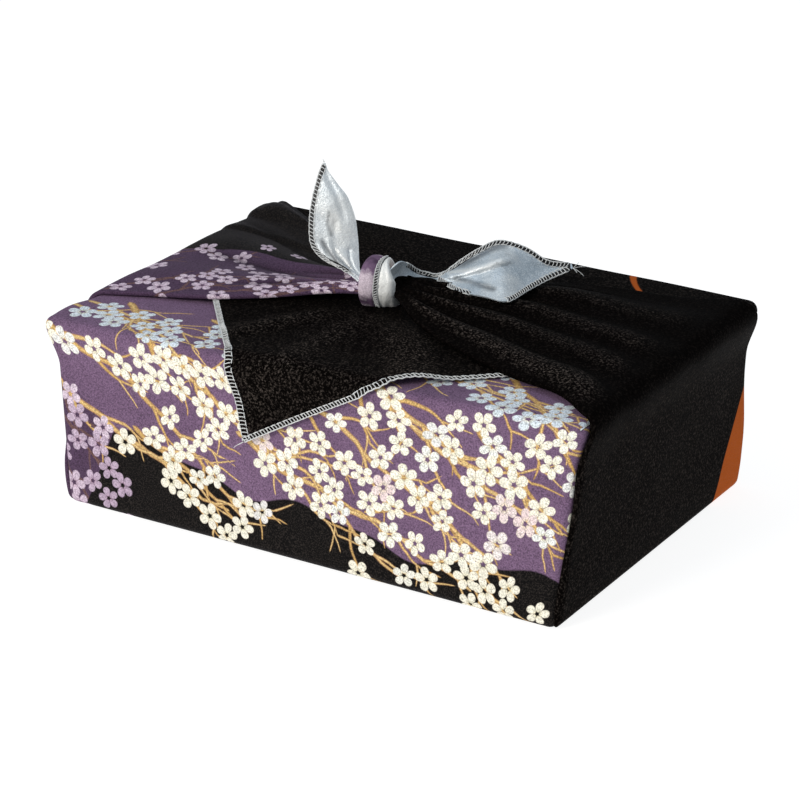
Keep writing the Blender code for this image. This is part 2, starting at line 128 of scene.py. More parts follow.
def smoothed(rows, at):  # a table's rows at the given places in its first column, with its bends rounded
    rows = np.array(rows, float)
    total = 0.0
    shifts = range(-9, 10, 3)
    for shift in shifts:
        total = total + np.stack([np.interp(at + shift, rows[:, 0], column) for column in rows.T[1:]])
    return total / len(shifts)


def ruler(start, *stretches):  # even places from the start on, for each stretch's end and step
    places = []
    for end, size in stretches:
        count = max(1, round(abs(end - start) / size))
        places += [start + (end - start) * i / count for i in range(count)]
        start = end
    return places + [start]


# Flat patterns: a grid of cloth, cut along lines, that keeps its flat places as a UV map.


def flatPattern(across, along, unwanted=None, cuts=()):
    columns = len(across)
    bm = bmesh.new()
    verts = [bm.verts.new((x, y, 0.0)) for y in along for x in across]
    for row in range(len(along) - 1):
        for column in range(columns - 1):
            at = row * columns + column
            bm.faces.new((verts[at], verts[at + 1], verts[at + columns + 1], verts[at + columns]))
    if unwanted:
        faces = [face for face in bm.faces if unwanted(*face.calc_center_median().xy)]
        bmesh.ops.delete(bm, geom=faces, context="FACES")
    for point, outward in cuts:
        geometry = bm.verts[:] + bm.edges[:] + bm.faces[:]
        bmesh.ops.bisect_plane(
            bm, geom=geometry, dist=1e-4, plane_co=(*point, 0), plane_no=(*outward, 0), clear_outer=True
        )
    return bm


def activate(obj):
    bpy.ops.object.select_all(action="DESELECT")
    bpy.context.view_layer.objects.active = obj
    obj.select_set(True)


def readValues(rows, key, columns=1, kind=float):
    values = np.zeros(len(rows) * columns, kind)
    rows.foreach_get(key, values)
    return values.reshape(-1, columns) if columns > 1 else values


def writeValues(rows, key, values):
    rows.foreach_set(key, values.astype(np.float32).ravel())


def linked(name, mesh, *materials):  # the mesh's object, with its materials, on the parcel
    obj = bpy.data.objects.new(name, mesh)
    bpy.context.scene.collection.objects.link(obj)
    for material in materials:
        mesh.materials.append(material)
    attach(obj, "root")
    return obj


def sewn(name, bm, lay, materials, flatOf, outFrom=(0.0, 0.0, 50.0)):
    # lays a flat pattern out and gives it its thickness: the first material is the face, the second the back
    mesh = bpy.data.meshes.new(name)
    bm.to_mesh(mesh)
    bm.free()
    flat = readValues(mesh.vertices, "co", 3)[:, :2]
    corners = readValues(mesh.loops, "vertex_index", kind=int)
    places = np.stack(flatOf(flat[:, 0], flat[:, 1]), 1)
    writeValues(mesh.uv_layers.new(name="flat").data, "uv", places[corners])
    writeValues(mesh.vertices, "co", lay(flat[:, 0], flat[:, 1]) * mm)
    mesh.update()
    centre = Vector(outFrom) * mm
    facing = sum(face.normal.dot(face.center - centre) * face.area for face in mesh.polygons)
    if facing < 0:
        mesh.flip_normals()
    obj = linked(name, mesh, *materials)
    activate(obj)
    wall = obj.modifiers.new("thickness", "SOLIDIFY")
    wall.thickness = parcel["thickness"] * mm
    wall.offset = 0.0
    wall.material_offset = 1
    bpy.ops.object.modifier_apply(modifier="thickness")
    bpy.ops.object.shade_smooth_by_angle(angle=math.radians(50))
    return obj


def flatPlaces(obj):
    return readValues(obj.data.uv_layers["flat"].data, "uv", 2)


def flatArea(obj):  # of the pattern, in square metres
    uv = flatPlaces(obj)
    total = 0.0
    for face in obj.data.polygons:
        ring = uv[list(face.loop_indices)]
        ahead = np.roll(ring, -1, axis=0)
        total += abs(np.sum(ring[:, 0] * ahead[:, 1] - ring[:, 1] * ahead[:, 0])) / 2
    return total / 2 * mm * mm  # the sheet has two sides


def declare(obj):
    width, length = np.ptp(flatPlaces(obj), axis=0) * mm
    float(flatArea(obj))


def operator(operation):  # what a Link does for one of Python's operators: it adds a Math node
    return lambda self, other: self.maths(operation, self, other)


class Link:  # a socket of a material, with sums on it
    def __init__(self, tree, socket):
        self.tree, self.socket = tree, socket

    def make(self, kind, settings=None, sockets=None, output=0):
        node = self.tree.nodes.new("ShaderNode" + kind)
        for name, value in (settings or {}).items():
            if name == "stops":
                for stop in list(node.color_ramp.elements)[1:]:
                    node.color_ramp.elements.remove(stop)
                node.color_ramp.elements[0].position = value[0][0]
                node.color_ramp.elements[0].color = (*value[0][1], 1)
                for position, colour in value[1:]:
                    node.color_ramp.elements.new(position).color = (*colour, 1)
            else:
                setattr(node, name, value)
        for key, value in (sockets or {}).items():
            if isinstance(value, Link):
                self.tree.links.new(value.socket, node.inputs[key])
            elif isinstance(value, tuple) and len(value) == 3 and node.inputs[key].type == "RGBA":
                node.inputs[key].default_value = (*value, 1)
            else:
                node.inputs[key].default_value = value
        return Link(self.tree, node.outputs[output])

    def maths(self, operation, *values):
        return self.make("Math", {"operation": operation}, dict(enumerate(values)))

    __add__, __sub__, __mul__ = operator("ADD"), operator("SUBTRACT"), operator("MULTIPLY")
    __truediv__, __pow__ = operator("DIVIDE"), operator("POWER")
    __radd__, __rmul__ = __add__, __mul__

    def __rsub__(self, other):
        return self.maths("SUBTRACT", other, self)

    def between(self, low, high):  # 0 at low, 1 at high, eased
        ends = {0: self, 1: float(low), 2: float(high)}
        return self.make("MapRange", {"interpolation_type": "SMOOTHSTEP"}, ends)

    def mixed(self, under, over):  # the colour over, where this mask is 1
        return self.make("Mix", {"data_type": "RGBA"}, {0: self, 6: under, 7: over}, 2)

    def parts(self):
        node = self.tree.nodes.new("ShaderNodeSeparateXYZ")
        self.tree.links.new(self.socket, node.inputs[0])
        return [Link(self.tree, output) for output in node.outputs]

    def noise(self, scale, detail=2.0, roughness=0.5):
        look = {"Scale": scale, "Detail": detail, "Roughness": roughness}
        return self.make("TexNoise", {}, {"Vector": self, **look})

    def cells(self, scale):
        return self.make("TexVoronoi", {"feature": "F1"}, {"Vector": self, "Scale": scale})

    def attribute(self, name):
        return self.make("Attribute", {"attribute_name": name}, {}, 1)

    def bumped(self, strength, distance):
        return self.make("Bump", {}, {"Strength": strength, "Distance": distance, "Height": self})


class Finish:  # a material whose shader is set by name
    def __init__(self, name, **constants):
        self.material = bpy.data.materials.new(name)
        self.material.use_nodes = True
        self.tree = self.material.node_tree
        self.shader = self.tree.nodes["Principled BSDF"]
        self.start = Link(self.tree, None)
        self.place = self.start.make("TexCoord", {}, {}, 3)  # the object's own coordinates, in metres
        for key, value in constants.items():
            socket = self.shader.inputs[key.replace("_", " ")]
            socket.default_value = (*value, 1) if isinstance(value, tuple) else value

    def feed(self, **links):
        for key, link in links.items():
            self.tree.links.new(link.socket, self.shader.inputs[key.replace("_", " ")])


crepe = {
    "grain": 1050.0,  # grains a metre
    "fine": 1500.0,
    "sparkle": 850.0,
    "depth": 0.00036,
    "twigLayers": 4,
    "blossomLayers": 6,
    "violet": (0.172, 0.104, 0.178),
    "violetDeep": (0.074, 0.042, 0.080),
    "black": (0.0020, 0.0015, 0.0014),
    "glint": (0.105, 0.085, 0.073),
    "orange": (0.42, 0.092, 0.017),
    "cream": (0.89, 0.84, 0.71),
    "coolWhite": (0.80, 0.81, 0.79),
    "paintedSkyWhite": (0.66, 0.74, 0.82),
    "whites": [(0.0, "cream"), (0.45, "cream"), (0.62, "coolWhite"), (0.86, "blush"), (1.0, "paintedSkyWhite")],
    "blush": (0.78, 0.62, 0.62),
    "lilac": (0.46, 0.35, 0.46),
    "lilacPale": (0.74, 0.62, 0.70),
    "heart": (0.62, 0.54, 0.30),
    "heartLilac": (0.36, 0.22, 0.30),
    "rim": (0.70, 0.56, 0.42),
    "rimLilac": (0.26, 0.17, 0.26),
    "wash": (0.62, 0.66, 0.52),
    "washLilac": (0.22, 0.14, 0.23),
    "ochre": (0.60, 0.38, 0.12),
    "ochrePale": (0.76, 0.56, 0.26),
    "twigEdge": (0.40, 0.22, 0.10),
    "twigFar": (0.16, 0.085, 0.07),
    # sizes of the tints' uneven patches, a metre
    "cloud": 22.0,
    "washGrain": 260.0,
}


def crepeSurface(finish):  # the pebbled surface of crepe: a bump, and a mask of its crests
    pebble = finish.place.cells(crepe["grain"])
    fine = finish.place.noise(crepe["fine"], 1.0)
    height = fine * 0.8 - pebble * 0.5
    finish.feed(Normal=height.bumped(0.6, crepe["depth"]))
    return fine, pebble


petals = {"number": 5, "middle": 0.56, "half": 0.42, "width": 0.325, "widening": 0.16}


def blossomOver(finish, colour, number):  # round petals in the blossom's own coordinates
    x, y, tone = finish.start.attribute("blossom%d" % number).parts()
    radius = (x * x + y * y) ** 0.5
    petal = y.maths("ARCTAN2", y, x) / (math.tau / petals["number"])
    fold = (petal - petal.maths("ROUND", petal)) * (math.tau / petals["number"])
    along = radius * fold.maths("COSINE", fold) - petals["middle"]
    aside = radius * fold.maths("SINE", fold)
    shape = (along / petals["half"]) ** 2.0 + (aside / (petals["width"] + along * petals["widening"])) ** 2.0
    mask = (1 - shape.between(0.78, 1.14)) * radius.between(0.09, 0.19)
    lilac = tone.maths("GREATER_THAN", tone, 1.0)
    part = tone.maths("FRACT", tone)
    whites = part.make("ValToRGB", {"stops": [(at, crepe[name]) for at, name in crepe["whites"]]}, {0: part})
    lilacs = part.mixed(crepe["lilac"], crepe["lilacPale"])
    tint = lilac.mixed(whites, lilacs)
    heart = (1 - radius.between(0.14, 0.50)) * 0.5
    border = shape.between(0.45, 1.05) * 0.3
    wash = finish.place.noise(crepe["washGrain"], 2.0).between(0.35, 0.7) * 0.22
    for over, name in ((heart, "heart"), (border, "rim"), (wash, "wash")):
        tint = over.mixed(tint, lilac.mixed(crepe[name], crepe[name + "Lilac"]))
    return mask.mixed(colour, tint)


def twigOver(finish, colour, number, black):
    aside, half, tone = finish.start.attribute("twig%d" % number).parts()
    off = aside.maths("ABSOLUTE", aside)
    mask = 1 - (off - half).between(-0.35, 0.35)
    core = 1 - (off / (half + 0.01)).between(0.1, 0.95)
    far = tone.maths("GREATER_THAN", tone, 1.0)
    wood = tone.maths("FRACT", tone).mixed(crepe["ochre"], crepe["ochrePale"])
    wood = core.mixed(crepe["twigEdge"], wood)
    wood = far.mixed(wood, crepe["twigFar"])
    mask = mask * (1 - far * (black * 0.65 + 0.35))
    return mask.mixed(colour, wood)


def makePrinted():
    finish = Finish(
        "printedCrepe", Roughness=0.80, Sheen_Weight=0.05, Sheen_Roughness=0.45, Sheen_Tint=(0.85, 0.8, 0.9),
        Specular_IOR_Level=0.08,
    )
    fine, pebble = crepeSurface(finish)
    black, deep, paintedShade = finish.start.attribute("ground").parts()
    cloud = finish.place.noise(crepe["cloud"], 3.0)
    ground = (1 - deep.between(-7.0, 7.0)).mixed(crepe["violetDeep"], crepe["violet"])
    ground = (cloud.between(0.42, 0.75) * 0.35).mixed(ground, crepe["violetDeep"])
    black = black.between(-0.6, 0.6)
    ground = black.mixed(ground, crepe["black"])
    for number in range(crepe["twigLayers"]):
        ground = twigOver(finish, ground, number, black)
    for number in range(crepe["blossomLayers"]):
        ground = blossomOver(finish, ground, number)
    speckle = (fine.between(0.3, 0.7) - 0.5) * 0.55 + (1.16 - pebble.between(0.15, 0.85) * 0.34)
    shaded = ground.make("VectorMath", {"operation": "SCALE"}, {0: ground, 3: speckle})
    glints = fine.between(0.46, 0.68) * black
    shaded = (glints * 0.20).mixed(shaded, crepe["glint"])
    # painted shade in the creases of the left ear, darkening towards black
    shaded = (paintedShade * 0.7).mixed(shaded, crepe["black"])
    finish.feed(Base_Color=shaded)
    return finish.material


def makeBlack():
    finish = Finish("blackCrepe", Roughness=0.42, Specular_IOR_Level=0.002)
    crepeSurface(finish)
    # the ground's second channel is painted sheen: how strongly the glints show
    moon, paintedSheen = finish.start.attribute("ground").parts()[:2]
    sparkle = finish.place.noise(crepe["sparkle"], 2.0, 0.7).between(0.48, 0.74)
    glints = sparkle * paintedSheen * 2.5
    colour = glints.mixed(crepe["black"], crepe["glint"])
    colour = moon.between(-0.5, 0.5).mixed(colour, crepe["orange"])
    finish.feed(Base_Color=colour)
    return finish.material


satinLook = {
    # sizes of its unevenness, a metre
    "fine": 1500.0,
    "crumple": 420.0,
    "soft": 110.0,
    "broad": 45.0,
    "depth": 0.0006,
    # along its bound edge: where the dark band begins and ends, in millimetres
    "bandStart": (0.1, 0.4),
    "bandEnd": (1.8, 2.1),
    "shade": (0.36, 0.43, 0.49),
    "silver": (0.62, 0.70, 0.77),
    "paintedLight": (0.96, 0.95, 0.91),
    "bound": (0.010, 0.009, 0.010),
    "paintedShade": (0.07, 0.08, 0.095),
}


def makeSatin(name, paintedLight):
    finish = Finish(name, Metallic=0.45 * (1 - paintedLight), Specular_IOR_Level=0.5)
    fine, soft, broad = (finish.place.noise(satinLook[size], 2.0) for size in ("fine", "soft", "broad"))
    crumple = finish.place.noise(satinLook["crumple"], 3.0, 0.6)
    sheen = soft.between(0.3, 0.7) * 0.5 + fine.between(0.35, 0.65) * 0.5
    colour = sheen.mixed(satinLook["shade"], satinLook["silver"])
    # painted sheen in uneven patches; paintedLight pales the whole piece towards the painted highlight
    # colour, for its more brightly lit copies
    sheenPatches = broad.between(0.45, 0.65) * 0.3 + fine.between(0.5, 0.75) * 0.4
    colour = (sheenPatches * (1 - paintedLight) + paintedLight).mixed(colour, satinLook["paintedLight"])
    # painted highlight on the tails' crests and painted shade in their hollows
    bound, paintedShade, crest = finish.start.attribute("bound").parts()
    colour = (crest * 0.6).mixed(colour, satinLook["paintedLight"])
    colour = (paintedShade * 0.75).mixed(colour, satinLook["paintedShade"])
    band = bound.between(*satinLook["bandStart"]) * (1 - bound.between(*satinLook["bandEnd"]))
    colour = band.mixed(colour, satinLook["bound"])
    finish.feed(
        Base_Color=colour,
        Roughness=0.32 + crumple * 0.22,
        Normal=(soft * 1.5 + crumple * 0.9 + fine * 0.5).bumped(0.7, satinLook["depth"]),
    )
    return finish.material


threadLook = {"fibre": 2500.0, "depth": 0.0002, "dark": (0.42, 0.43, 0.43), "light": (0.80, 0.81, 0.80)}


def makeThread():
    finish = Finish("overlockThread", Roughness=0.6, Sheen_Weight=0.3, Specular_IOR_Level=0.3)
    fibre = finish.place.noise(threadLook["fibre"], 2.0)
    finish.feed(
        Base_Color=fibre.between(0.25, 0.75).mixed(threadLook["dark"], threadLook["light"]),
        Normal=fibre.bumped(0.4, threadLook["depth"]),
    )
    return finish.material


knotLook = {
    "cloud": 150.0,
    "frayed": 300.0,  # unevenness of the patches' outline
    # pale patches of blossom: middle, radius
    "spots": [(-12.0, -19.5, 117.5, 10.0), (-14.0, -17.0, 103.5, 6.0), (-14.0, 2.0, 128.0, 9.0)],
}


def makeKnotPrint():  # the print gathered in the knot
    finish = Finish("gatheredPrint", Roughness=0.75, Specular_IOR_Level=0.15)
    fine = crepeSurface(finish)[0]
    x, y, z = finish.place.parts()
    uneven = finish.place.noise(knotLook["frayed"], 2.0) * 0.006
    cloud = finish.place.noise(knotLook["cloud"], 1.0)
    colour = cloud.between(0.35, 0.6).mixed(crepe["violetDeep"], crepe["violet"])
    for spotX, spotY, spotZ, radius in knotLook["spots"]:
        gap = ((x - spotX * mm) ** 2.0 + (y - spotY * mm) ** 2.0 + (z - spotZ * mm) ** 2.0) ** 0.5
        patch = 1 - (gap + uneven).between((radius - 2.5) * mm, (radius + 2.0) * mm)
        colour = patch.mixed(colour, crepe["lilacPale"])
    finish.feed(Base_Color=(fine.between(0.3, 0.7) * 0.3).mixed(colour, crepe["violetDeep"]))
    return finish.material


printed, blackCrepe, thread, knotPrint = makePrinted(), makeBlack(), makeThread(), makeKnotPrint()
# lit copies of the satin: painted light makes it paler on the standing tail and palest on the knot
satin = makeSatin("satinBack", 0.0)
litSatin = makeSatin("litSatin", 0.35)
knotLitSatin = makeSatin("knotLitSatin", 0.85)
print("finishes made")


# What both covers share: their margins run round the corners, narrower towards the foot.
def roundCorner(across, run):  # how far a place lies round a corner
    beyond = np.maximum(0.0, np.abs(across) - halfX)
    return np.where(beyond > edge, edge + (beyond - edge) * share(run, edge, rim), beyond)


def coverColumns(cover):
    inner, outer, reach = halfX - edge, halfX + edge, halfX + cover["margin"]
    cell, hidden, bend = cover["cell"], cover["hidden"], cover["bend"]
    return ruler(-reach, (-outer, hidden), (-inner, bend), (inner, cell), (outer, bend), (reach, hidden))


def looseness(across, run, full):  # 0 where the cloth is held at the base edge and the corners
    return ease(run, 2.0, full) * ease(halfX - np.abs(across), -2.0, 20.0)


# The front cover: the base, the front wall with its margins round the corners, and the layer on the top.
frontCover = {
    # lengths of the cloth's cells: in general, where it is hidden, round the corners, and under the base
    "cell": 1.7,
    "hidden": 7.0,
    "bend": 1.2,
    "baseCell": 16.0,
    "reach": 120.0,  # how far it runs back over the top, under the other layers
    "seen": 64.0,  # how far of that shows
    "margin": 50.0,
    "wave": 0.35,
    "waveSize": 85.0,
    "pucker": 0.28,  # fine gathers along the rim
    "puckerSize": 17.0,
    # beside the left ear it stands up: height, middle and reach past the rim, how far in from the side
    "lift": (1.4, 19.0, 19.0, 26.0),
}


def layFront(across, run):
    beyond = roundCorner(across, run)
    x = np.clip(across, -halfX, halfX)
    y = np.where(run < 0, -halfY - run, np.where(run > rim + near, run - rim - halfY, beyond - halfY))
    z = np.where(run < 0, parcel["level"], np.where(run > rim + near, top, parcel["level"] + run))
    free = looseness(across, run, 25.0)
    layer = frontCover["wave"] * waves(across, run, 3, frontCover["waveSize"]) * free
    gathers = ridge((run - rim + 8) / 26.0) * waves(across, run * 0.35, 4, frontCover["puckerSize"])
    layer = layer + frontCover["pucker"] * gathers * free
    lift, past, reach, inward = frontCover["lift"]
    layer = layer + lift * ridge((run - rim - past) / reach) * ease(-across, halfX - inward, halfX)
    return overParcel(x, y, z, np.where(run < 0, 0.0, layer))


def makeFront():
    cell, hidden, seen, reach = (frontCover[key] for key in ("cell", "hidden", "seen", "reach"))
    along = ruler(
        edge - depth, (-edge, frontCover["baseCell"]), (edge, 1.0), (rim - edge, cell), (rim + edge, 1.0),
        (rim + seen, cell * 1.2), (rim + reach, hidden),
    )

    def unwanted(x, run):
        if run < -edge:
            return abs(x) > halfX - edge
        return abs(x) > halfX and not 0 < run < rim

    pattern = flatPattern(coverColumns(frontCover), along, unwanted)
    return sewn("frontCover", pattern, layFront, [printed, satin], lambda across, run: (across, -halfY - run))


# The back cover: the back wall, the top, and the flap that hangs over the front.
backCover = {
    "cell": 2.0,
    "hidden": 7.0,
    "bend": 1.5,
    "wallCell": 3.0,
    "flapCell": 1.6,
    "margin": 50.0,
    "tip": (-2.4, 41.1),  # the flap's tip, across and past the front rim
    "swing": -26.4,  # how far the tip is drawn sideways
    "turn": math.radians(40.6),  # between its left edge and the parcel's depth
    "clear": 1.6,  # extra room at the front rim
    "trim": 0.3,  # cut off along the flap's edges
    # x at the knot, x at the rim, half width, height
    "ridges": [(-20.0, -66.0, 15.0, 1.6), (-8.0, -8.0, 17.0, 1.4), (4.0, 64.0, 24.0, 2.4)],
    "knotAt": 118.0,
    "wave": 0.4,
    "waveSize": 90.0,
    # loose threads at its tip: heading, droop, length
    "loose": [((-1, 0, -0.55), -1.0, 7.0), ((-0.6, -0.2, -0.5), 0.5, 4.0)],
}
flapTip = np.array([backCover["tip"][0], rim + depth + backCover["tip"][1]])
# outward from the flap's left and right edges
flapLeft = np.array([-math.cos(backCover["turn"]), math.sin(backCover["turn"])])
flapRight = np.array([math.sin(backCover["turn"]), math.cos(backCover["turn"])])


def frontRoom(past):
    return backCover["clear"] * ease(past, depth - 34.0, depth)


def backLayer(across, past):
    height = parcel["layer"] * ease(past, -30.0, 40.0) + frontRoom(past)
    knotAt = backCover["knotAt"]
    along = share(past, knotAt, depth)
    fade = ease(past, knotAt, knotAt + 30.0) * (1 - 0.7 * ease(past, depth - 20, depth + 20))
    for atKnot, atRim, halfWidth, crest in backCover["ridges"]:
        middle = atKnot + (atRim - atKnot) * along
        height = height + crest * fade * ridge((across - middle) / halfWidth)
    return height


def layBack(across, run):
    past = run - rim
    beyond = roundCorner(across, run)
    onWall = past <= near
    hanging = past > depth
    onMargin = backLayer(across, beyond) * ease(run, 70.0, rim)
    layer = np.where(onWall & (beyond > 0), onMargin, backLayer(across, past))
    uneven = waves(across, run, 7, backCover["waveSize"]) * looseness(across, run, 30.0)
    layer = layer + backCover["wave"] * uneven
    swing = backCover["swing"] * share(past, depth, depth + backCover["tip"][1])
    x = np.where(hanging, across + swing, np.clip(across, -halfX, halfX))
    y = np.where(hanging, -halfY, np.where(onWall, halfY - beyond, halfY - past))
    y = np.where(run < 0, halfY + run, y)
    z = np.where(hanging, top - (past - depth), np.where(onWall, parcel["level"] + run, top))
    z = np.where(run < 0, parcel["level"], z)
    return overParcel(x, y, z, layer)


def makeBack():
    frontRim, last = rim + depth, flapTip[1] + 2
    along = ruler(
        -edge, (edge, 1.5), (rim - edge, backCover["wallCell"]), (rim + edge, 1.2),
        (frontRim - edge, backCover["cell"]), (frontRim + edge, 1.0), (last, backCover["flapCell"]),
    )

    def unwanted(x, run):
        return abs(x) > halfX and not 0 < run < rim

    cuts = [(flapTip - backCover["trim"] * outward, outward) for outward in (flapLeft, flapRight)]
    pattern = flatPattern(coverColumns(backCover), along, unwanted, cuts)
    return sewn("backCover", pattern, layBack, [blackCrepe, satin], lambda across, run: (across, halfY + run))


# The ears: base edge, end wall, and the cloth gathered up to the knot.
footRows = [
    (-rim - edge, edge - halfY, halfY - edge, 0.0, 0.0),
    (-rim, 1.2 - halfY, halfY - 1.2, 1.0, 1.0),
    (-rim + edge, -100.8, 100.8, 2.0, 2.0),
    (-rim + 14, -100.8, 100.8, 2.3, 2.3),
]
leftEar = {
    "side": -1,
    # run past the rim, front edge, back edge, the two edges' rise over the lowest layer
    "sections": footRows + [
        (-48.0, -92.0, 100.8, 2.4, 2.5),
        (-20.0, -76.0, 101.0, 2.4, 3.2),
        (0.0, -63.0, 99.0, 2.4, 4.4),
        (24.0, -55.0, 84.0, 3.2, 4.4),
        (45.0, -50.0, 68.0, 4.0, 4.6),
        (65.0, -44.0, 52.0, 4.8, 5.0),
        (82.0, -34.0, 38.0, 5.8, 6.0),
        (100.0, -25.0, 22.0, 7.6, 7.6),
        (118.0, -19.0, 10.0, 10.0, 10.0),
        (134.0, -18.0, 4.0, 12.0, 12.0),
    ],
    # place across at the rim and at the knot, half width, height at the rim and at the knot
    "folds": [
        (0.20, 0.24, 0.24, 2.4, 3.0),
        (0.57, 0.60, 0.17, 2.4, 3.0),
        (0.895, 0.86, 0.09, 4.6, 2.8),
    ],
    # the same, then the run where the crease starts and where it is full
    "creases": [
        (0.04, 0.30, 0.04, 0.3, 3.6, 48.0, 80.0),
        (0.30, 0.62, 0.035, 0.2, 2.6, 40.0, 110.0),
        (0.46, 0.46, 0.04, 0.6, 1.8, 0.0, 40.0),
        (0.74, 0.72, 0.05, 1.4, 1.6, -10.0, 30.0),
    ],
    # the edges of folded cloth, steep to the front: place at the rim and at the knot, heights, width behind
    "pleats": [(0.665, 0.93, 2.2, 1.8, 0.16), (0.815, 1.0, 5.4, 2.0, 0.17)],
    "calm": 0.0,
    "end": 134.0,
    "flatWidth": [(-120.0, 196.0), (0.0, 178.0), (60.0, 128.0), (134.0, 60.0)],
}
rightEar = {
    "side": 1,
    "sections": footRows + [
        (-48.0, -98.5, 100.6, 2.4, 2.5),
        (-16.0, -100.0, 96.0, 2.6, 3.4),
        (0.0, -96.0, 88.0, 3.4, 4.4),
        (24.0, -75.0, 76.0, 4.2, 4.4),
        (45.0, -70.0, 71.0, 4.4, 4.6),
        (62.0, -63.5, 69.0, 4.6, 4.8),
        (88.0, -51.5, 60.0, 5.2, 5.2),
        (106.0, -43.0, 45.0, 6.2, 6.2),
        (127.0, -31.0, 20.0, 8.8, 8.6),
        (138.0, -22.0, 9.0, 10.4, 10.4),
        (144.0, -12.0, 6.0, 10.4, 14.2),
        (157.0, -6.0, 1.0, 10.4, 17.6),
    ],
    "folds": [
        (0.08, 0.18, 0.14, 4.2, 3.2),
        (0.29, 0.44, 0.13, 2.4, 3.0),
        (0.47, 0.66, 0.13, 2.2, 2.8),
        (0.72, 0.88, 0.17, 1.8, 2.6),
    ],
    "creases": [
        (0.17, 0.30, 0.030, 0.5, 1.7, 0.0, 60.0),
        (0.23, 0.37, 0.025, 0.2, 1.0, 10.0, 90.0),
        (0.38, 0.55, 0.030, 0.4, 1.6, 0.0, 70.0),
        (0.55, 0.77, 0.035, 0.5, 1.5, 5.0, 70.0),
        (0.63, 0.83, 0.025, 0.2, 0.9, 10.0, 80.0),
        (0.84, 0.95, 0.030, 0.4, 1.0, 5.0, 80.0),
    ],
    "pleats": [],
    "calm": 0.9,  # how far its folds flatten at the knot
    "end": 157.0,
    "flatWidth": [(-120.0, 204.0), (0.0, 184.0), (70.0, 150.0), (157.0, 64.0)],
}
earSheet = {
    "cell": 1.7,
    "wallCell": 2.4,
    "columns": 112,
    "turned": 0.9,  # radius of its turned-in edges
    "underStep": 1.6,  # length of a column's cloth where it is turned under
    "wallShare": 0.2,  # how much of the folds the end wall has
    "foldsStart": -60.0,
    "foldsFull": 22.0,
    "knotRun": 135.0,
    "wave": 0.3,
    "waveSize": 60.0,
}


def drawnTo(atRim, atKnot, run):  # what changes evenly from the rim to the knot
    return atRim + (atKnot - atRim) * share(run, 0.0, earSheet["knotRun"])


def earPlace(ear, y, run):  # the share across, of a flat place
    return y / np.interp(run, *np.array(ear["flatWidth"]).T) + 0.5


def earFolds(ear, place, run):
    started = earSheet["wallShare"] * ease(run, earSheet["foldsStart"], 0.0)
    started = started + (1 - earSheet["wallShare"]) * ease(run, -edge, earSheet["foldsFull"])
    height = 0.0
    for atRim, atKnot, halfWidth, rimHeight, knotHeight in ear["folds"]:
        away = (place - drawnTo(atRim, atKnot, run)) / halfWidth
        height = height + started * drawnTo(rimHeight, knotHeight, run) * ridge(away)
    for atRim, atKnot, halfWidth, rimDepth, knotDepth, start, full in ear["creases"]:
        cut = np.exp(-np.abs(place - drawnTo(atRim, atKnot, run)) / halfWidth * 1.6)
        height = height - ease(run, start, full) * drawnTo(rimDepth, knotDepth, run) * cut
    for atRim, atKnot, rimHeight, knotHeight, width in ear["pleats"]:
        edgeAt = drawnTo(atRim, atKnot, run)
        step = ease(place, edgeAt - 0.012, edgeAt + 0.012) * (1 - ease(place, edgeAt, edgeAt + width))
        height = height + ease(run, -6.0, 12.0) * drawnTo(rimHeight, knotHeight, run) * step
    return height * (1 - ear["calm"] * ease(run, ear["end"] - 32, ear["end"] - 8))


def earCreaseShade(ear, x, y):  # painted shade: 1 in the bottom of its creases, for flat places
    run = abs(x) - halfX - rim
    place = earPlace(ear, y, run)
    paintedShade = 0.0
    for atRim, atKnot, halfWidth, *_, start, full in ear["creases"]:
        dark = np.exp(-np.abs(place - drawnTo(atRim, atKnot, run)) / halfWidth * 1.4)
        paintedShade = np.maximum(paintedShade, ease(run, start, full) * dark)
    return paintedShade


def layEar(ear):
    def lay(across, run):  # across in steps from the front edge: below 0 and past the end it is turned under
        front, back, frontRise, backRise = smoothed(ear["sections"], run)
        width = back - front
        turned, columns, under = (earSheet[key] for key in ("turned", "columns", "underStep"))
        quarter = turned * math.pi / 2
        place = across / columns
        inFront = np.where(place < 0, across * under, place * width)
        behind = np.where(place > 1, (columns - across) * under, (1 - place) * width)
        nearest = np.minimum(inFront, behind)
        turn = np.clip(nearest / quarter, -1, 1) * math.pi / 2
        inward = turned - turned * np.cos(turn) + np.maximum(0.0, np.abs(nearest) - quarter)
        y = np.where(inFront < behind, front + inward, back - inward)
        at = np.clip(np.where(np.abs(place - 0.5) > 0.5, (y - front) / width, place), 0, 1)
        layer = frontRise + (backRise - frontRise) * at + earFolds(ear, at, run)
        layer = layer + turned * (np.sin(turn) - 1)
        uneven = earSheet["wave"] * waves(y, run, 11 + ear["side"], earSheet["waveSize"])
        layer = layer + uneven * ease(run, -rim + 6, -rim + 40)
        side = ear["side"]
        x = side * np.where(run < -rim, halfX + run + rim, np.where(run < 0, halfX, halfX - run))
        z = np.where(run < -rim, parcel["level"], np.where(run < 0, top + run, top))
        return overParcel(x, y, z, np.where(run < -rim, 0.0, layer))

    return lay


def makeEar(name, ear, material):
    columns = earSheet["columns"]
    across = [-4.0, -2.2] + list(np.arange(-1.2, 1.21, 0.3)) + list(range(2, columns - 1))
    across += list(columns + np.arange(-1.2, 1.21, 0.3)) + [columns + 2.2, columns + 4.0]
    along = ruler(
        -rim - edge, (edge - rim, 1.0), (-edge, earSheet["wallCell"]), (edge, 1.0),
        (ear["end"], earSheet["cell"]),
    )

    def flatOf(across, run):
        width = np.interp(run, *np.array(ear["flatWidth"]).T)
        return ear["side"] * (halfX + rim + run), (across / columns - 0.5) * width

    return sewn(name, flatPattern(across, along), layEar(ear), [material, satin], flatOf)


